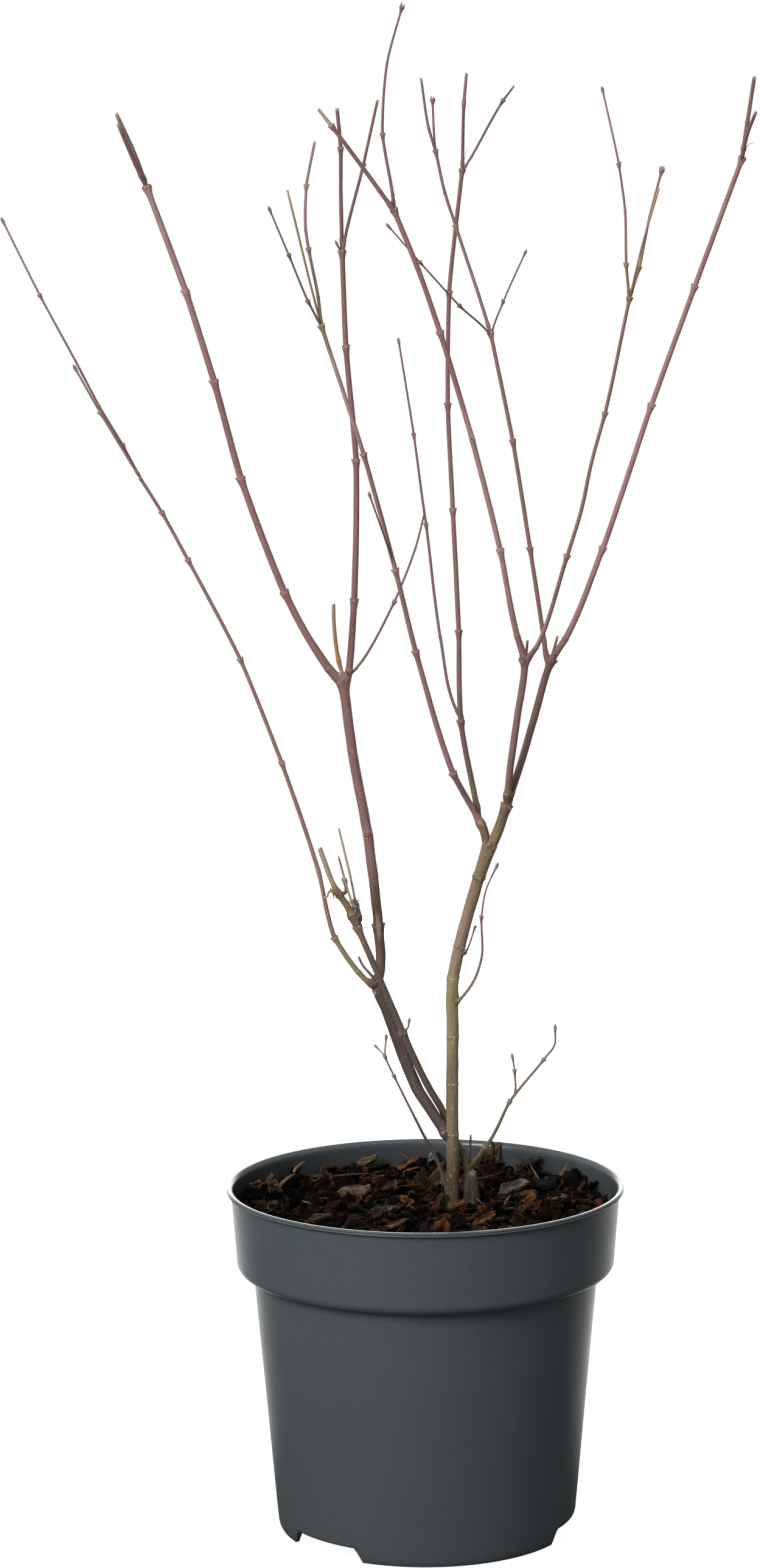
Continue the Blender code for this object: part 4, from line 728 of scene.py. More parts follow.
def jointRelief(kind, d, wide, across, knobs, dots):
    # d is the distance past the joint; gives added radius, factor on the tone, share of scar tone
    if kind == "node":              # a swelling, slow below and fast above, wider at the buds
        rise = np.where(d < 0, bell(d, 0.9 * wide + 1.6), bell(d, 0.30 * wide + 0.40))
        line = bell(d + 0.55 * wide * across, 0.20 + 0.07 * wide)
        added = rise * (0.10 + (0.44 + 0.07 * wide) * across ** 1.8) + 0.07 * line
        above = ((d > 0) * fade(d, 4.0))[..., None]
        under = ((d < 0) * fade(d, 2.0 + wide))[..., None]
        shade = ((1 + above * np.array([0.02, 0.08, 0.10]))
                 * (1 - under * np.array([0.06, 0.16, 0.20])))
        return added, shade, np.clip(0.50 + 0.5 * knobs, 0.1, 1) * line
    if kind == "ring":              # a small step between two fine ridges, pale in dashes
        apart, thin = 0.30 + 0.19 * wide, 0.14 + 0.040 * wide
        ridges = bell(d, thin) + 0.55 * bell(d + apart, thin)
        step = 0.10 * bell(d, 1.2) + np.where(d > 0, -0.05, 0.05) * fade(d, 2)
        above = ((d > 0) * fade(d, 5.0))[..., None]
        under = bell(d + 0.5 * apart, 1.2 * apart)[..., None]
        shade = (1 + above * np.array([0.0, 0.07, 0.10])) * (1 - 0.22 * under)
        dashes = (np.clip(0.35 + 1.5 * (dots if wide > thickWood else knobs), 0.05, 1)
                  * np.clip(0.75 + 0.6 * knobs, 0.25, 1))
        pale = (1.0 if wide > thickWood else 0.6) * np.clip(1.2 * ridges, 0, 1) * dashes
        return step * (0.6 + 0.25 * wide) + 0.06 * ridges, shade, pale
    wavy = d - 0.35 * knobs         # a band: two wavy ridges on a broad swelling
    ridges = bell(wavy, 0.6) + 0.8 * bell(wavy + 1.9, 0.5)
    added = 0.32 * bell(d, 2.4) + ridges * (0.10 + 0.20 * np.clip(knobs, 0, 1))
    return added, 1.0, 0.9 * np.clip(ridges, 0, 1) * np.clip(0.6 + 0.6 * knobs, 0, 1)


def addMark(radius, tone, angle, s, base, mark, dice):
    # a patch with a ragged edge on one side of the stem, flat or raised
    at, face, long, wide, tint, rise = mark
    ragged = 1 + 0.25 * ripple(angle * 0, s, dice, (1, 1), (2, 6))
    across = turnedFrom(angle, face) * base[:, None] / wide * 2 * ragged
    mask = np.exp(-(((s - at) / long * 2) ** 4 + across ** 4))
    radius = radius + rise * mask * (0.75 + 0.35 * ripple(angle, s, dice, (4, 9), (1.5, 4)))
    return radius, blended(tone, barkColour(tint), 0.85 * mask)


def addKnot(radius, tone, angle, s, base, knot, path, dice):
    # a warty lump, all round or on one side, and the buds that crowd on it
    at, long, rise, face, count = knot
    mask = np.exp(-((s - at) / long * 2) ** 4)
    if face is not None:
        mask = mask * bell(turnedFrom(angle, face), 1.1)
    warts = ripple(angle, s, dice, (2, 7), (2.2, 9.0), 9)
    radius = radius + rise * mask * (0.85 + 0.20 * warts) + 0.08 * mask * warts
    tone = blended(tone, barkColour("knot"), mask * np.clip(0.55 + 0.3 * warts, 0, 0.85))
    bright = 1.4 if base.max() > 2.5 else 1.0
    tone = blended(tone, bright * barkColour("scar"), 0.60 * mask * bell(warts, 0.15))
    for _ in range(count):
        mark, turn = at + long * dice.uniform(-0.3, 0.45), dice.uniform(0, 2 * pi)
        centre, way, side, away = spotOn(path, mark)
        out = side * np.cos(turn) + away * np.sin(turn)
        reach = float(np.interp(mark, s[:, 0], base)) + 0.7 * rise - 0.2
        budSpots.append((centre + out * reach, way + out * dice.uniform(0.3, 1.4), out,
                         dice.uniform(1.1, 2.6), dice.uniform(0.75, 1.25), 1.0))
    return radius, tone


def addEnding(radius, tone, angle, s, end, plan, path, last, knobs, dice):
    # end is the radius at the tip, d the distance past it
    ends, scar, d = plan.get("ends", "cut"), barkColour("scar"), s - last
    if ends == "fist":                      # the tip widens, like a Y, to carry the fork
        flat = bell(d, 2.6 * end) * np.abs(np.cos(angle)) ** 1.6
        radius = radius + plan.get("spread", 0.30) * end * flat
    if ends == "pair":                      # a crown that widens to two toothed corners
        radius = radius + bell(d, 2.6) * (0.10 + 0.34 * np.abs(np.cos(angle)) ** 1.5)
        addBuds(path, last + 0.1, 0.0, 0.55, dice, reach=1.9, lift=7)
        addBuds(path, last - 1.6, pi / 2, 0.55, dice, reach=1.0, lift=16)
    if ends == "cut":                       # a little die-back below the cut
        pale = 0.8 * bell(d, plan.get("pale", 1.3)) * (0.9 + 0.2 * knobs)
        tone = blended(tone, 1.2 * barkColour("paleStub"), pale)
    if ends == "bud":                       # a club with a pale ring under the bud
        radius = radius + 0.30 * bell(d + 0.6, 1.7)
        tone = blended(tone, scar, 0.6 * bell(d + 0.5, 0.4))
        centre, way, side, _ = spotOn(path, last)
        budSpots.append((centre - way * 0.6, way, side, dice.uniform(2.5, 3.2),
                         1.7 * end + 1.0, 1.0))
        addBuds(path, last - 0.5, 0.0, float(end), dice, reach=0.75, lift=11)
    if ends in ("fist", "node"):            # warty where the next stems part
        warts = ripple(angle, s, dice, (3, 7), (1.6, 4.0))
        top = bell(d, 0.9 + 0.35 * end)
        radius = radius + top * (0.05 + 0.10 * warts)
        tone = blended(tone, barkColour("wart"), top * np.clip(0.6 + 0.4 * warts, 0, 0.9))
        tone = blended(tone, 1.2 * scar, 0.8 * top * bell(warts, 0.22))
    return radius, tone


def stemSurface(name, path, plan, dice):
    # radius = taper x slow ripples, + the relief of joints, marks, knots and tip; the tone follows
    # the same masks. Every mask is a bell round the distance s along the stem.
    first, last = path["marks"][0], path["marks"][-1] + plan.get("over", 0.0)
    joints = [(number, mark, kind) for number, (mark, kind)
              in enumerate(zip(path["marks"][2:], path["kinds"][2:])) if kind != "bend"]
    knots, ends = plan.get("knots", ()), plan.get("ends", "cut")
    along = rowsAlong(first, last, joints, knots)
    base = readAlong(plan["thick"], along) / 2 * readAlong(plan.get("flare", {0: 1.0}), along)
    around = int(np.clip(round(2 * pi * base.max() / stemGrid["facet"]),
                         stemGrid["fewest"], stemGrid["most"]))
    angle, s = ringAngles(around), along[:, None]
    slow = ripple(angle, s, dice, (1, 3), (9, 60))
    fluted = ripple(angle, s, dice, (5, 11), (40, 160)) * np.clip(base[:, None] - 1.0, 0, 2)
    radius = base[:, None] * (1 + 0.022 * slow + 0.010 * fluted)
    tone = np.stack([readAlong(dict(zip(plan["tones"], channel)), along) for channel
                     in np.transpose([barkColour(tint) for tint in plan["tones"].values()])], -1)
    tone = np.repeat(tone[:, None], around, 1)
    knobs = ripple(angle, s * 0, dice, (3, 9), (50, 90))
    dots = ripple(angle, s, np.random.default_rng(around), (6, 15), (2, 5), 9)
    if plan.get("collar"):
        leaves, wide = plan["collar"]
        radius = radius * (1 + plan.get("swell", 0.30) * bell(s - leaves, 0.8 * wide + 0.6))
    for number, mark, kind in joints:
        turn = radians(plan.get("turns", {}).get(number, dice.uniform(-22, 22)))
        wide = float(np.interp(mark, along, base))
        across = np.abs(np.cos(angle - turn))
        added, shade, pale = jointRelief(kind, s - mark, wide, across, knobs, dots)
        radius = radius + added
        bright = 1.45 if kind == "ring" and wide > thickWood else 1.0
        tone = blended(tone * shade, bright * barkColour("scar"), pale)
        if kind == "node" and not (mark == path["marks"][-1] and ends in ("cut", "fist")):
            addBuds(path, mark, turn, wide + 0.35 * (0.46 + 0.07 * wide), dice)
    for mark in plan.get("marks", ()):
        radius, tone = addMark(radius, tone, angle, s, base, mark, dice)
    for knot in knots:
        radius, tone = addKnot(radius, tone, angle, s, base, knot, path, dice)
    end = base[-1]
    radius, tone = addEnding(radius, tone, angle, s, end, plan, path, last, knobs, dice)
    if ends == "cut":                       # the closing rings: how far past the tip, scale, cut
        offsets, scales = [0.08, 0.10, 0.04, 0.0], [0.96, 0.86, 0.45, 0.10]
        flags = [0, 1, 1, 1]
    else:
        lean = np.radians([22, 42, 60, 76, 87])
        offsets, scales, flags = 0.62 * end * np.sin(lean), np.cos(lean), [0] * 5
    rows = np.concatenate([along, last + np.array(offsets)])
    cut = np.concatenate([np.zeros(len(along)), flags])[:, None, None] * np.ones((1, around, 1))
    radius = np.concatenate([radius, radius[-1:] * np.array(scales)[:, None]])
    tone = np.concatenate([tone] + [tone[-1:]] * len(flags))
    base = np.concatenate([base, np.full(len(flags), end)])
    centre, way, side, away = frameOn(path, rows)
    radial = side[:, None] * np.cos(angle)[..., None] + away[:, None] * np.sin(angle)[..., None]
    points = centre[:, None] + radius[..., None] * radial
    if ends == "cut":                       # the cut slants, more and more to the end
        near = np.clip((rows - last + 2.2 * end) / (2.2 * end), 0, 1.2) ** 2
        slant = 0.32 * np.cos(angle - dice.uniform(0, 2 * pi)) * radius * near[:, None]
        points = points + way[:, None] * slant[..., None]
    grain = ringPoints(base[:, None], angle, rows[:, None] + dice.uniform(0, 900))
    stemGrids[name] = dict(points=points, radial=radial, way=way, rows=len(along))
    stemPaths[name] = dict(path=path, base=base, rows=rows)
    return tube(points, tone, grain, cutFace=cut)


def grownFrom(parent, distance, legs, below=0.0):
    # a path that leaves its parent from a few millimetres lower down, inside the parent's bark
    stem = stemPaths[parent]
    start, low, root = pointsOn(stem["path"], [distance, distance - below,
                                               distance - below - rooted["parent"]])
    wide = float(np.interp(distance, stem["rows"], stem["base"]))
    toward = frameOn(stem["path"], distance)[1][0] @ heading(legs[0][1], legs[0][2])
    leaves = min(wide / max(np.sqrt(1 - min(toward, 1.0) ** 2), 0.25), 9.0)
    return growPath(start, legs, root, low), (leaves, wide)


def grownFromSoil(foot, legs):
    # a path that starts a little under the soil's surface
    start = np.array([*foot, footZ])
    return growPath(start, legs, start - np.array([0, 0, rooted["soil"]]), start), None


def setPiece(piece, slot, *nodes):
    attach(piece, "root")
    if nodes:
        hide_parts(*nodes)


def pieceName(node):
    # left_outer_bough becomes leftOuterBoughBark
    first, *others = node.split("_")
    return first + "".join(word.title() for word in others) + "Bark"


dice = np.random.default_rng(21)            # the same draws on every run
for node, plan in limbs.items():
    path, collar = (grownFromSoil(plan["foot"], plan["legs"]) if "foot" in plan
                    else grownFrom(*plan["grows"], plan["legs"], plan.get("below", 0.0)))
    surface = stemSurface(node, path, {"ends": "fist", **plan, "collar": collar}, dice)
    setPiece(meshFrom(pieceName(node), *surface, limbSkin), "bark", node)
print("limbs done,", len(limbs))


def growShoot(name, start, plan, parts):
    # the shoot itself and, by the same rule, the side twigs on it
    path, collar = start
    parts.append(stemSurface(name, path, dict(plan, collar=collar), dice))
    for number, (distance, side) in enumerate(plan["forks"]):
        growShoot(f"{name}/{number}", grownFrom(name, distance, side["legs"]), side, parts)


for node, plan in twigs.items():
    parts = []
    for number, stem in enumerate(plan["shoots"]):
        if "foot" in plan:
            start = grownFromSoil(plan["foot"], stem["legs"])
        elif "tipOf" in plan:
            end = stemPaths[plan["tipOf"]]["path"]["marks"][-1]
            start = grownFrom(plan["tipOf"], end, stem["legs"], rooted["tip"])
        else:
            start = grownFrom(*plan["beside"], stem["legs"])
        growShoot(f"{node}/{number}", start, stem, parts)
    setPiece(meshFrom(pieceName(node), *joined(parts), twigSkin), "twigs", node)
parts = []
for number, (parent, distance, stem) in enumerate(spurs):
    growShoot(f"spur/{number}", grownFrom(parent, distance, stem["legs"]), stem, parts)
setPiece(meshFrom("spurs", *joined(parts), twigSkin), "twigs")
print("twigs done,", len(twigs), "masses and", len(spurs), "spurs")


# rises and widths are shares of the length and of half the width, from foot to tip
budShape = dict(rises=(0.0, 0.16, 0.38, 0.60, 0.80, 0.97),
                widths=(0.62, 0.98, 1.04, 0.78, 0.34, 0.08), around=8,
                scaleColour=(0.300, 0.170, 0.158), tipColour=(0.160, 0.085, 0.076),
                footColour=(0.360, 0.260, 0.215))


def scattered(name, shape, places, skin, slot):
    # every copy = its place + outward x width + sideways x width + axis x length of the shape
    rises, widths = np.array(shape["rises"]), np.array(shape["widths"])
    local = ringPoints(widths[:, None], ringAngles(shape["around"]), rises[:, None])
    spot, axis, out, long, wide, kind = (np.array(item, float) for item in zip(*places))
    axis, out = unit(axis), unit(out - (out * axis).sum(-1, keepdims=True) * axis)
    turned = np.stack([out * wide[:, None] / 2, np.cross(axis, out) * wide[:, None] / 2,
                       axis * long[:, None]], 1)
    points = np.einsum("rak,nkc->nrac", local, turned) + spot[:, None, None]
    bow = -0.10 * (local[..., 2] ** 2)[None] * long[:, None, None]   # the tip bends to the stem
    points = points + bow[..., None] * out[:, None, None] * (kind < 0.5)[:, None, None, None]
    share = rises[None, :, None] * np.ones((len(spot), 1, shape["around"]))
    foot, middle, tip = (np.array(shape[key + "Colour"]) for key in ("foot", "scale", "tip"))
    tone = blended(foot, middle, np.clip(share / 0.22, 0, 1))
    tone = blended(tone, tip, np.clip((share - 0.5) / 0.4, 0, 1))
    tone = tone * dice.uniform(0.75, 1.25, (len(spot), 1, 1, 1))
    grain = local[None] * np.array([1, 1, 3.0]) + dice.uniform(0, 90, (len(spot), 1, 1, 3))
    parts = [tube(*copy, cutFace=0 * local[..., :1]) for copy in zip(points, tone, grain)]
    setPiece(meshFrom(name, *joined(parts), skin), slot)


scattered("buds", budShape, budSpots, budSkin, "twigs")

lenticelShape = dict(rises=(-0.6, 0.35, 0.85), widths=(1.0, 0.86, 0.45), around=6,
                     scaleColour=(0.36, 0.29, 0.20), tipColour=(0.42, 0.35, 0.26),
                     footColour=(0.26, 0.20, 0.13))
lenticelSpots = []
for node, plan in limbs.items():
    grid = stemGrids[node]
    for _ in range(plan["lenticels"]):
        row = dice.integers(4, grid["rows"] - 2)
        column = dice.integers(0, grid["points"].shape[1])
        size = dice.uniform(0.35, 0.75) * (1.25 if node == "trunk" else 1.0)
        lenticelSpots.append((grid["points"][row, column], grid["radial"][row, column],
                              grid["way"][row], 0.13 * size + 0.04,
                              size * dice.uniform(0.9, 1.5), 1.0))
scattered("lenticels", lenticelShape, lenticelSpots, limbSkin, "bark")
print("buds and lenticels done,", len(budSpots), "and", len(lenticelSpots))


potShape = dict(wall=1.6, skirtInner=82.7, floorUnder=9.0, floorTop=11.0, around=288,
                notchTurns=(-44.0, 76.0, 196.0), notchHeight=8.0, notchHalfFoot=18.66,
                notchHalfTop=15.16, drainHoles=6, drainRadius=6.0, drainRing=60.0,
                drillSides=40, drillHeights=(4.0, 6.0, 14.0, 16.0))
# radius at the foot and at the top, height of the foot, rise to the top
bodyLine, collarLine = (87.0, 99.8, 10.0, 142.5), (108.8, 112.4, 152.5, 46.9)
# the darkest blue-grey here is the painted shade on the left of the inner wall
potFinish = dict(slate=(0.061, 0.074, 0.082), dusty=(0.073, 0.087, 0.093),
                 dark=(0.038, 0.047, 0.053), worn=(0.30, 0.31, 0.31), damp=(0.014, 0.018, 0.022),
                 grime=(0.030, 0.024, 0.018), roughness=0.24, specular=0.40)


def radiusOn(line, z):
    # foot + (top - foot) x height over the foot / rise
    foot, top, footZ, rise = line
    return foot + (top - foot) * (z - footZ) / rise


def potProfile(shape):
    # (radius, z) from the middle of the underside, out, up the wall, over the lip and down inside
    wall, skirt, below, above = (shape[key] for key in ("wall", "skirtInner", "floorUnder",
                                                        "floorTop"))
    under = [(1, 0), (20, 0), (29.2, 0), (30.1, 0.4), (34.9, 8.5), (36, below)]
    under += [(r, below) for r in (44, 54, 60, 66, 76, 81.9)]
    under += [(skirt, z) for z in (8.4, 6, 4, 2, 0.5)] + [(82.9, 0.1), (83.3, 0)]
    foot = [(84.5, 0), (85.0, 0.15), (85.3, 0.6), (85.7, 1.4), (86.1, 2.4), (86.4, 4), (86.7, 7)]
    body = [(radiusOn(bodyLine, z), z) for z in (10, 10.6, 14, *range(20, 150, 8), 149.4)]
    step = [(99.75, 151.6), (99.95, 152.2), (100.5, 152.5)]
    centre = (radiusOn(collarLine, 158.5) - 6, 158.5)
    corner = [(centre[0] + 6 * np.sin(a), centre[1] - 6 * np.cos(a))
              for a in np.radians(np.arange(0, 91, 11.25))]
    collar = [(radiusOn(collarLine, z), z) for z in (159.5, *range(163, 197, 4), 197.6)]
    lip = [(112.35, 198.5), (112.5, 199.1), (113.1, 199.38), (114.2, 199.42), (114.75, 199.6),
           (114.95, 199.95), (114.75, 200.3), (114.50, 200.5), (114.75, 200.7), (115.0, 201.05),
           (114.95, 201.5), (114.6, 201.85), (113.9, 202.0), (113.1, 201.97), (112.4, 201.7),
           (111.7, 201.0), (111.15, 200.1), (110.85, 199.3)]
    inside = [(radiusOn(collarLine, z) - wall, z) for z in (197.5, *range(194, 160, -4), 158.3)]
    inside += [(104.4, 154.6), (103, 154.2), (99.6, 154.1), (98.4, 153.6), (98.2, 152.5)]
    inside += [(radiusOn(bodyLine, z) - wall, z) for z in range(146, 14, -12)]
    inside += [(85.6, 12.5)] + [(r, above) for r in (84.4, 76, 66, 60, 54, 44, 34)]
    inside += [(33.2, 10.6), (28.4, 2.4), (27.4, 2), (12, 2), (1, 2)]
    return np.array(under + foot + body + step + corner + collar + lip + inside, float)


def makePot(shape):
    # the profile turned round the axis; below the body's foot, heights are squeezed up over each
    # notch: z' = notch + z x (foot - notch) / foot
    turns = np.arange(shape["around"]) * 360.0 / shape["around"]
    edges = np.array([turn - 90 + side for turn in shape["notchTurns"]
                      for side in (-shape["notchHalfFoot"], -shape["notchHalfTop"],
                                   shape["notchHalfTop"], shape["notchHalfFoot"])]) % 360
    turns = np.sort(np.concatenate([turns[np.abs(turns[:, None] - edges).min(1) > 0.4], edges]))
    profile = potProfile(shape)
    angle = np.radians(turns)[None]
    radius, z = profile[:, :1] + 0 * angle, profile[:, 1:] + 0 * angle
    notch = np.zeros_like(angle)
    for turn in shape["notchTurns"]:
        off = np.abs((turns - (turn - 90) + 180) % 360 - 180)
        slope = (shape["notchHalfFoot"] - off) / (shape["notchHalfFoot"] - shape["notchHalfTop"])
        notch = np.maximum(notch, np.clip(slope, 0, 1)[None] * shape["notchHeight"])
    skirt = (profile[:, :1] > 82) & (profile[:, 1:] < 8.9)
    under = shape["floorUnder"]
    z = np.where(skirt, notch + z * (under - notch) / under, z)
    sway = 0.12 * np.sin(2 * angle + 0.6) + 0.06 * np.sin(5 * angle + 2.0)   # moulded, not turned
    radius = radius + sway * np.clip(profile[:, 1:] / 200.0, 0, 1) * (profile[:, :1] > 60)
    skin = potSkin(potFinish)
    pot = meshFrom("potShell", withPoles(ringPoints(radius, angle, z)), *tubeFaces(*radius.shape),
                   {}, skin)
    sides, height = shape["drillSides"], np.array(shape["drillHeights"])[:, None]
    holes = []
    for number in range(shape["drainHoles"]):
        middle = 2 * pi * number / shape["drainHoles"]
        place = shape["drainRing"] * np.array([np.cos(middle), np.sin(middle), 0])
        hole = place + ringPoints(shape["drainRadius"] + 0 * height, ringAngles(sides), height)
        holes.append((withPoles(hole), *tubeFaces(len(height), sides), {}))
    drill = meshFrom("drill", *joined(holes), skin)
    step = pot.modifiers.new("drain holes", "BOOLEAN")
    step.operation, step.solver, step.object = "DIFFERENCE", "EXACT", drill
    graph = bpy.context.evaluated_depsgraph_get()
    graph.update()
    cut = bpy.data.meshes.new_from_object(pot.evaluated_get(graph))
    pot.modifiers.clear()
    pot.data = cut
    bpy.data.objects.remove(drill, do_unlink=True)
    cut.shade_smooth()
    cut.set_sharp_from_angle(angle=radians(34))
    return pot


def potSkin(finish):
    # slate plastic: cloudy tone, fine speckle, faint upright rubs and a few pale scratches,
    # soil dust on the inner wall above the bark, painted shade on the inner wall toward the left,
    # and painted shade low on the pot, lighter toward the top
    kit = newSkin("pot plastic", finish["roughness"], finish["specular"])
    place = kit.place()
    cloud = kit.noise(place, (9, 9, 14), detail=4.0)
    speckle = kit.noise(place, (900, 900, 900), detail=1.0)
    rub = kit.noise(place, (60, 60, 5), detail=5.0)
    colour = kit.mix(kit.span(cloud, 0.35, 0.65, 0.0, 0.28), finish["slate"], finish["dusty"])
    colour = kit.mix(kit.span(rub, 0.55, 0.75, 0.0, 0.16), colour, finish["dusty"])
    colour = kit.mix(kit.span(speckle, 0.45, 0.62, 0.0, 0.22), colour, finish["dark"])
    dot = kit.times(kit.span(kit.cells(place, 170.0), 0.10, 0.05),
                    kit.span(kit.noise(place, (30, 30, 30)), 0.66, 0.70))
    colour = kit.mix(kit.times(dot, 0.5), colour, finish["worn"])
    x, y, z = kit.parted(place)
    r = kit.math("POWER", kit.plus(kit.times(x, x), kit.times(y, y)), 0.5)
    inner = kit.times(kit.span(r, 0.1113, 0.1108), kit.span(z, 0.1860, 0.1870))
    grime = kit.times(inner, kit.span(z, 0.198, 0.189, 0.10, 1.0),
                      kit.span(kit.noise(place, (55, 55, 90), detail=5.0), 0.40, 0.62))
    # painted shade: the inner wall darkens toward the left, where the key light doesn't reach
    damp = kit.times(inner, kit.span(x, 0.04, -0.10, 0.30, 0.72))
    colour = kit.mix(damp, colour, finish["damp"])
    colour = kit.mix(kit.times(grime, 0.5), colour, finish["grime"])
    # painted shade: the pot's colour darkens toward the bottom and lightens toward the top
    kit.feed("Base Color", kit.shaded(colour, kit.span(z, 0.0, 0.2, 0.92, 1.06)))
    rough = finish["roughness"]
    kit.feed("Roughness", kit.span(cloud, 0.3, 0.7, rough - 0.05, rough + 0.08))
    kit.bump(kit.plus(kit.times(speckle, 0.5), kit.times(rub, 0.5)), 0.00012, 0.5)
    return kit.skin


setPiece(makePot(potShape), "pot", "pot")
print("pot done")


# the bed's near-black is partly the compost's own dark colour and partly painted shade in the gaps
# between chips
soilShape = dict(level=186.2, rough=1.9, rings=56, around=150, edge=109.2,
                 bedColour=(0.006, 0.004, 0.003))
soilPalette = np.array([(0.010, 0.004, 0.002), (0.022, 0.008, 0.003), (0.005, 0.003, 0.002),
                        (0.046, 0.016, 0.006), (0.084, 0.030, 0.010), (0.028, 0.012, 0.006),
                        (0.125, 0.050, 0.018), (0.050, 0.026, 0.015), (0.002, 0.002, 0.002)])
paletteShare = np.array([0.18, 0.19, 0.15, 0.18, 0.09, 0.06, 0.03, 0.02, 0.10])


def soilSkin(name, roughness, stretch, depth, specular):
    # piece tone x fibres along the grain x painted shade in the creases, black there, with small
    # damp glints
    kit = newSkin(name, roughness, specular)
    tone, grain = kit.layer("barkTone", "Color"), kit.layer("grain", "Vector")
    fibre = kit.noise(grain, stretch, detail=4.0, rough=0.6)
    lump = kit.noise(grain, (0.34, 0.50, 0.50), detail=5.0, rough=0.62)
    crease = kit.math("ABSOLUTE", kit.math("SUBTRACT", lump, 0.5))
    # painted shade: the colour darkens in the creases
    shade = kit.times(kit.span(fibre, 0.28, 0.72, 0.25, 1.9),
                      kit.span(crease, 0.0, 0.06, 0.50, 1.12))
    kit.feed("Base Color", kit.shaded(tone, shade))
    damp = kit.noise(grain, (0.9, 0.9, 0.9))
    kit.feed("Roughness", kit.span(damp, 0.52, 0.66, roughness, 0.30))
    kit.bump(kit.plus(kit.times(fibre, 1.0), kit.times(crease, 1.4)), depth, 1.0)
    return kit.skin


bedSkin = soilSkin("dark compost", 0.95, (0.9, 0.9, 0.9), 0.0012, 0.03)
chipSkin = soilSkin("bark mulch", 0.85, (0.12, 1.3, 1.3), 0.0013, 0.06)


def soilHeight(x, y):
    # slow waves over quick ones, and a low heap round the stems
    waves = (np.sin(x / 9.1 + 1.0) * np.cos(y / 7.3) + 0.8 * np.sin(x / 4.7 - y / 5.9 + 2.0)
             + 0.6 * np.sin(x / 3.1 + y / 2.6) + 0.4 * np.cos(x / 2.1 - y / 1.9))
    heap = 1.5 * np.exp(-((x - 19) ** 2 + (y - 9) ** 2) / 500)
    return soilShape["level"] + soilShape["rough"] * 0.45 * waves + heap


def makeBed(shape):
    # rings out from the middle of the surface, then down the pot's inner wall to its floor
    share = np.linspace(0.006, 1, shape["rings"])[:, None]
    angle = ringAngles(shape["around"])
    top = ringPoints(shape["edge"] * share, angle, 0 * share)
    top[..., 2] = soilHeight(top[..., 0], top[..., 1])
    wall = np.array([(108.9, 180), (107.4, 164), (106.6, 159), (104, 154.9), (98.0, 154.5),
                     (97.8, 152), *((radiusOn(bodyLine, z) - 2.0, z) for z in (100, 50)),
                     (85.2, 13), (84, 11.4), (33.4, 11.4), (28, 2.4), (1, 2.4)])
    points = np.concatenate([top, ringPoints(wall[:, :1], angle, wall[:, 1:])])[::-1]
    tone = np.ones(points.shape) * np.array(shape["bedColour"])
    return meshFrom("compostBed", *tube(points, tone, points), bedSkin)


setPiece(makeBed(soilShape), "soil", "soil")

# lowest and highest length, width as a share of it, thickness and height over the bed
chipSizes = [
    dict(count=640, long=(2.5, 6.0), wide=(0.40, 0.9), thick=(0.6, 1.4), rise=(-0.4, 2.6),
         tilt=44, clear=4.4),
    dict(count=430, long=(6.0, 12.0), wide=(0.45, 0.9), thick=(0.8, 2.2), rise=(0.2, 3.6),
         tilt=38, clear=6.5),
    dict(count=130, long=(10.0, 17.0), wide=(0.45, 0.75), thick=(1.0, 2.8), rise=(0.8, 4.0),
         tilt=28, clear=9.0)]
# x, y, height over the bed, length, width, thickness, turn, tilt, curl, colour
namedChips = [
    (-42, 26, 5.0, 20, 6, 5.0, 12, 4, -0.30, (0.200, 0.150, 0.095)),
    (-24, -15, 5.0, 20, 10, 2.4, -14, 10, -0.10, (0.115, 0.078, 0.058)),
    (51, 33, 5.5, 20, 13, 2.6, 24, 18, -0.12, (0.130, 0.100, 0.080)),
    (-91, 36, 8.0, 10, 5, 2.6, 20, 56, 0.65, (0.140, 0.080, 0.042)),
    (-62, -36, 4.0, 17, 10, 2.6, 8, 18, 0.35, (0.085, 0.042, 0.022)),
    (42, 101, 8.0, 17, 8, 2.8, 62, 58, 0.60, (0.105, 0.060, 0.036)),
    (36, 99, 5.0, 12, 9, 3.0, 30, 30, 0.50, (0.070, 0.046, 0.028)),
    (72, 42, 5.0, 15, 11, 5.0, 10, 12, -0.20, (0.012, 0.013, 0.016)),
    (88, 58, 5.5, 12, 10, 7.0, 60, 10, -0.20, (0.009, 0.009, 0.010)),
    (58, 20, 5.5, 14, 5, 2.6, 12, 8, 0.15, (0.170, 0.072, 0.024)),
    (76, 12, 4.5, 12, 5, 1.8, -32, 14, 0.25, (0.160, 0.115, 0.056)),
    (20, -5, 4.0, 9, 6, 2.6, 10, 24, -0.35, (0.120, 0.048, 0.020)),
    (34, -37, 4.6, 15, 8, 2.8, 20, 22, -0.40, (0.110, 0.044, 0.018)),
    (-16, -44, 4.4, 16, 7, 2.4, -6, 20, -0.35, (0.115, 0.046, 0.019)),
    (7, 58, 5.0, 18, 12, 2.6, 55, 34, -0.30, (0.085, 0.056, 0.040)),
    (-20, 40, 5.0, 13, 9, 3.2, 30, 24, -0.35, (0.090, 0.040, 0.022)),
    (-60, 58, 5.0, 14, 9, 3.2, 30, 24, -0.35, (0.095, 0.042, 0.024)),
    (-13, 92, 5.0, 20, 10, 3.0, 6, 22, -0.20, (0.105, 0.052, 0.030)),
    (-34, 96, 7.0, 14, 8, 2.6, 14, 26, 0.25, (0.160, 0.105, 0.065)),
    (63, 84, 6.5, 17, 12, 4.0, -24, 30, 0.30, (0.055, 0.036, 0.028))]
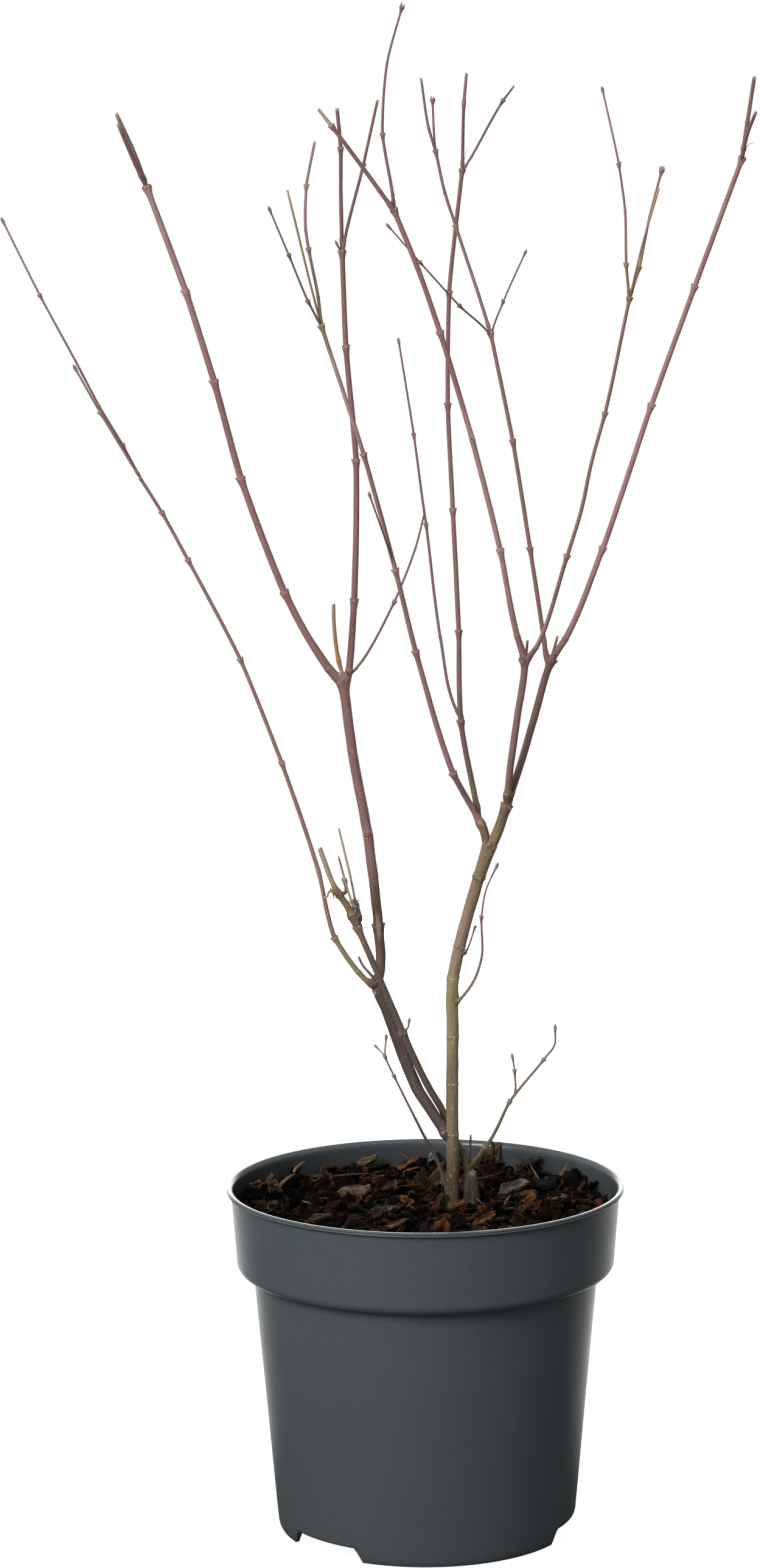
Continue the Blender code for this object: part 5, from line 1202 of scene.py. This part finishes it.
# thin sticks: foot, tip, sideways bow, thickness, colour
sticks = [
    ((-4, 98, 190), (-17, 104, 197.5), 0.8, 1.5, (0.150, 0.070, 0.040)),
    ((-5, 98, 190), (-2, 99, 199.0), 0.5, 1.3, (0.130, 0.068, 0.042)),
    ((-13, 73, 191), (-3, 78, 193.0), 0.6, 1.5, (0.280, 0.140, 0.055)),
    ((77, 60, 189), (85, 62, 199.5), -0.6, 1.9, (0.260, 0.150, 0.080)),
    ((64, 66, 190), (54, 92, 197.0), -2.0, 1.0, (0.060, 0.036, 0.026)),
    ((68, 60, 189), (61, 84, 197.0), 0.8, 1.6, (0.190, 0.110, 0.070)),
    ((-62, 66, 190), (-56, 68, 199.5), 2.2, 1.1, (0.075, 0.046, 0.032)),
    ((-59, 60, 191), (-30, 62, 193.0), 1.0, 1.4, (0.120, 0.070, 0.050)),
    ((-71, 4, 191), (-64, -8, 192.0), 0.0, 0.9, (0.330, 0.320, 0.310)),
    ((25, 16, 193), (35, -14, 191.5), 0.5, 1.2, (0.230, 0.130, 0.080)),
    ((-14, 2, 192), (-6, -16, 191.0), 0.4, 1.0, (0.190, 0.110, 0.065)),
    ((-23, -22, 189), (-22, -22, 197.0), 0.6, 1.7, (0.040, 0.026, 0.020)),
    ((46, 0, 190), (50, 10, 192.5), 0.4, 1.7, (0.230, 0.130, 0.070)),
    ((-78, 66, 193), (-71, 70, 199.0), 0.9, 2.0, (0.230, 0.130, 0.080)),
    ((-93, 34, 190), (-83, 22, 197.0), 0.9, 1.6, (0.190, 0.100, 0.050)),
    ((-86, 40, 190), (-76, 44, 197.5), 1.2, 2.4, (0.200, 0.110, 0.060)),
    ((-22, 30, 190), (-2, 34, 193.5), 1.0, 1.5, (0.120, 0.060, 0.036)),
    ((30, 60, 190), (48, 70, 193.0), -1.0, 1.4, (0.110, 0.060, 0.040))]
# crumpled flakes stand in clumps by the wall: x, y, how many, spread, colour; the pale grey clump
# at the back is a painted highlight where a glint shows
clumps = [(-95, 30, 9, 3.2, (0.085, 0.046, 0.022)), (-84, -18, 8, 3.2, (0.080, 0.046, 0.024)),
          (40, 100, 9, 3.2, (0.066, 0.040, 0.024)), (-62, 50, 6, 3.2, (0.060, 0.030, 0.014)),
          (5, 104, 7, 1.7, (0.170, 0.170, 0.175))]


def clumpChips(places, chipDice):
    # small, strongly curled chips piled at every place, as rows of the named list
    return [(x + chipDice.normal(0, spread), y + chipDice.normal(0, spread),
             chipDice.uniform(1.5, 8.5), chipDice.uniform(6, 10), chipDice.uniform(4, 7),
             chipDice.uniform(1.2, 2.2), chipDice.uniform(0, 360), chipDice.normal(0, 55),
             chipDice.uniform(0.4, 0.9), tuple(chipDice.uniform(0.6, 1.7) * np.array(colour)))
            for x, y, count, spread, colour in places for _ in range(count)]


def randomChips(sizes, chipDice):
    # spread evenly over the bed, none on a stem; every row is one chip as in the named list
    rows = []
    for group in sizes:
        angle = chipDice.uniform(0, 2 * pi, group["count"])
        reach = 107.0 * np.sqrt(chipDice.uniform(0.0, 1.0, group["count"]))
        x, y = reach * np.cos(angle), reach * np.sin(angle)
        keep = np.ones(len(x), bool)
        for stemX, stemY in ((16, 6), (25, 8), (13, 15)):
            keep &= np.hypot(x - stemX, y - stemY) > group["clear"]
        long = chipDice.uniform(*group["long"], len(x))
        wide = long * chipDice.uniform(*group["wide"], len(x))
        rows.append(np.stack([x, y, chipDice.uniform(*group["rise"], len(x)), long, wide,
                              chipDice.uniform(*group["thick"], len(x)),
                              chipDice.uniform(0, 360, len(x)),
                              chipDice.normal(0, group["tilt"], len(x)),
                              chipDice.uniform(-0.55, 0.65, len(x))], -1)[keep])
    return np.concatenate(rows)


def rotated(one, two, angle):
    # (one x cos - two x sin, one x sin + two x cos)
    return (one * np.cos(angle) - two * np.sin(angle), one * np.sin(angle) + two * np.cos(angle))


def makeChips(chipDice):
    # Each chip: five rings of an uneven outline, scaled and set at five heights, curled across its
    # width, tilted and turned; anything past the pot's inner wall is drawn back inside it.
    loose = randomChips(chipSizes, chipDice)
    placed = namedChips + clumpChips(clumps, chipDice)
    named = np.array([row[:9] for row in placed], float)
    chips = np.concatenate([loose, named])
    tones = soilPalette[chipDice.choice(len(soilPalette), len(loose), p=paletteShare)]
    tones = (tones * chipDice.uniform(0.6, 1.35, (len(loose), 1))
             * (0.16 + 0.72 * np.clip((loose[:, :1] + 80) / 90, 0, 1)))     # painted shade on the left, where the pot's rim shadows the soil
    tones = np.concatenate([tones, 0.60 * np.array([row[9] for row in placed])])
    count, around = len(chips), 11
    angle = (np.arange(around) + chipDice.uniform(-0.35, 0.35, (count, around))) * 2 * pi / around
    outline = chipDice.uniform(0.62, 1.14, (count, around))
    scale = np.array([0.50, 0.94, 1.04, 0.98, 0.55])[None, :, None]
    level = np.array([0.50, 0.42, 0.12, -0.38, -0.50])[None, :, None]
    long, wide, thick = (chips[:, key][:, None, None] for key in (3, 4, 5))
    ragged = outline[:, None] * scale * chipDice.uniform(0.88, 1.12, (count, 5, around))
    squared = 1 / np.maximum(np.abs(np.cos(angle)), np.abs(np.sin(angle))) ** 0.55
    x = long / 2 * ragged * (np.cos(angle) * squared)[:, None]
    y = wide / 2 * ragged * (np.sin(angle) * squared)[:, None]
    z = thick * (level + chipDice.uniform(-0.26, 0.26, (count, 5, around)))
    grain = np.stack([x, y, z], -1) + chipDice.uniform(0, 400, (count, 1, 1, 3))
    curl = chips[:, 8][:, None, None]
    z = (z + curl * wide * ((2 * y / wide) ** 2 - 0.4) * 0.5
         + 0.10 * curl * long * (2 * x / long) ** 2)
    turn, tilt = (np.radians(chips[:, key])[:, None, None] for key in (6, 7))
    roll = chipDice.normal(0, 0.35, (count, 1, 1)) * (np.arange(count) < len(loose))[:, None, None]
    y, z = rotated(y, z, roll)
    x, z = rotated(x, z, tilt)
    x, y = rotated(x, y, turn)
    x, y = x + chips[:, 0][:, None, None], y + chips[:, 1][:, None, None]
    z = z + (soilHeight(chips[:, 0], chips[:, 1]) + chips[:, 2])[:, None, None]
    out = np.hypot(x, y)
    inside = np.minimum(1.0, (radiusOn(collarLine, z) - 2.1) / np.maximum(out, 1))
    points = np.stack([x * inside, y * inside, z], -1)
    paintedLightAndShade = np.array([0.45, 1.9, 0.95, 0.28, 0.15])[:, None, None]       # painted highlight on the top edges, painted shade on the undersides
    parts = []
    for number in range(count):
        tone = paintedLightAndShade * chipDice.uniform(0.7, 1.35, (5, around, 1)) * tones[number]
        parts.append(tube(points[number], tone, grain[number], flip=-1))
    made = meshFrom("barkChips", *joined(parts), chipSkin)
    made.data.set_sharp_from_angle(angle=radians(38))
    return made


def makeSticks():
    # a tapered round stick on a bowed line: middle = straight line + bow x 4 t (1 - t)
    rings, sides, parts = 12, 7, []
    t, angle = np.linspace(0, 1, rings)[:, None], ringAngles(sides)
    for foot, tip, bow, thick, colour in sticks:
        foot, tip = np.array(foot, float), np.array(tip, float)
        way = unit(tip - foot)
        side = unit(np.cross(way, np.array([0.3, 0.9, 0.2])))
        line = foot + (tip - foot) * t + side * bow * 4 * t * (1 - t)
        radius = thick / 2 * (1 - 0.75 * t ** 3) * (1 + 0.18 * np.sin(3 * angle + 9 * t))
        other = np.cross(way, side)
        ring = side * np.cos(angle)[..., None] + 0.6 * other * np.sin(angle)[..., None]
        points = line[:, None] + ring * radius[..., None]
        tone = np.ones((rings, sides, 1)) * np.array(colour)
        grain = foot + np.stack([12 * t + 0 * angle, np.cos(angle) + 0 * t,
                                 np.sin(angle) + 0 * t], -1)
        parts.append(tube(points, tone, grain))
    return meshFrom("looseSticks", *joined(parts), chipSkin)


chipDice = np.random.default_rng(5)
setPiece(makeChips(chipDice), "soil")
setPiece(makeSticks(), "soil")
print("soil done")


studio = dict(white=1.0, base=0.12, behind=5.0, left=0.44, right=0.31, above=0.40, front=0.31,
              floor=0.05, floorGlow=0.96, sweep=1.15, keyEnergy=77.0, keyPlace=(-1.5, -2.05, 1.7),
              keySize=1.2)


def makeFloor():
    # flat rings from 20 mm out to 2.2 m, and a fan to the middle
    radius, around = np.array([20.0, 300, 900, 1500, 2200])[:, None], 96
    rings = ringPoints(radius, ringAngles(around), 0 * radius)
    flat = np.concatenate([rings.reshape(-1, 3), np.zeros((1, 3))])
    quads, _ = tubeFaces(len(radius), around)
    here = np.arange(around)
    tris = np.stack([here, (here + 1) % around, np.full(around, len(flat) - 1)], -1)
    kit = newSkin("pale floor", 0.7, 0.2)
    place = kit.place()
    shade = kit.span(kit.noise(place, (2, 2, 2)), 0.3, 0.7, studio["floor"] - 0.01,
                     studio["floor"] + 0.01)
    kit.feed("Base Color", kit.grey(shade))
    kit.shader.inputs["Emission Color"].default_value = (1, 1, 1, 1)
    # white to the camera with little bounce, and a lit sweep behind that the pot's edges reflect
    seen = kit.times(kit.node("ShaderNodeLightPath").outputs["Is Camera Ray"], studio["floorGlow"])
    reach = kit.node("ShaderNodeVectorMath", operation="LENGTH")
    way = kit.node("ShaderNodeVectorMath", operation="NORMALIZE")
    kit.link(place, reach.inputs[0])
    kit.link(place, way.inputs[0])
    x, y, _ = kit.parted(way.outputs["Vector"])
    sweep = studio["sweep"]
    for value, low, high in ((x, 1.00, 0.40), (x, -0.95, -0.45), (y, 0.05, 0.35),
                             (reach.outputs["Value"], 0.10, 0.26)):
        sweep = kit.times(kit.span(value, low, high), sweep)
    kit.feed("Emission Strength", kit.plus(seen, sweep))
    floor = meshFrom("floor", flat, quads[:, ::-1], tris, {}, kit.skin)


def setDown(made, *columns):
    # right, up, back and place are the columns of the object's matrix
    made.matrix_world = Matrix([*zip(*columns), (0, 0, 0, 1)])
    bpy.context.scene.collection.objects.link(made)


def makeLight():
    # the camera sees plain white; the plant is lit by a bright backdrop, a softer left and ceiling
    world = bpy.data.worlds.new("studio")
    bpy.context.scene.world = world
    world.use_nodes = True
    kit = nodeKit(world.node_tree)
    kit.nodes.clear()
    x, y, z = kit.parted(kit.place("Generated"))
    base, level = studio["base"], 0.0
    for way, low, high, least, most in ((y, 0.86, 0.995, base, base + studio["behind"]),
                                        (y, -0.10, -0.95, 0.0, studio["front"]),
                                        (x, 0.30, -0.90, 0.0, studio["left"]),
                                        (x, 0.15, 0.95, 0.0, studio["right"]),
                                        (z, 0.15, 0.90, 0.0, studio["above"])):
        level = kit.plus(kit.span(way, low, high, least, most), level)
    room = kit.node("ShaderNodeBackground", Color=(1, 1, 1, 1))
    plain = kit.node("ShaderNodeBackground", Color=(1, 1, 1, 1), Strength=studio["white"])
    pick, output = kit.node("ShaderNodeMixShader"), kit.node("ShaderNodeOutputWorld")
    kit.link(level, room.inputs["Strength"])
    kit.link(kit.node("ShaderNodeLightPath").outputs["Is Camera Ray"], pick.inputs[0])
    kit.link(room.outputs[0], pick.inputs[1])
    kit.link(plain.outputs[0], pick.inputs[2])
    kit.link(pick.outputs[0], output.inputs["Surface"])
    lamp = bpy.data.lights.new("key", "AREA")
    lamp.energy, lamp.size, lamp.color = studio["keyEnergy"], studio["keySize"], (1.0, 0.985, 0.96)
    key = bpy.data.objects.new("key", lamp)
    place = np.array(studio["keyPlace"])
    key.location = place
    away = unit(place - np.array([0, 0, 0.45]))
    side = unit(np.cross(np.array([0, 0, 1.0]), away))
    up = np.cross(away, side)
    setDown(key, side, up, away, place)


cameraPlace = dict(place=(0.0, -2.5, 0.8159), pitch=0.15081, yaw=-0.00987, roll=radians(-0.35),
                   lens=101.79)


def makeCamera(setting):
    # forward from yaw and pitch, then the picture turned about it by the roll
    yaw, pitch, roll = setting["yaw"], setting["pitch"], setting["roll"]
    forward = np.array([np.sin(yaw) * np.cos(pitch), np.cos(yaw) * np.cos(pitch), -np.sin(pitch)])
    right = np.array([np.cos(yaw), -np.sin(yaw), 0.0])
    up = np.cross(right, forward)
    across = np.cos(roll) * right + np.sin(roll) * up
    above = -np.sin(roll) * right + np.cos(roll) * up
    lens = bpy.data.cameras.new("camera")
    lens.sensor_width, lens.lens = 36.0, setting["lens"]
    lens.clip_start, lens.clip_end = 0.05, 60.0
    camera = bpy.data.objects.new("camera", lens)
    setDown(camera, across, above, -forward, setting["place"])
    bpy.context.scene.camera = camera


makeFloor()
makeLight()
makeCamera(cameraPlace)
bpy.context.scene.view_settings.view_transform = "Standard"
print("floor, light and camera done")
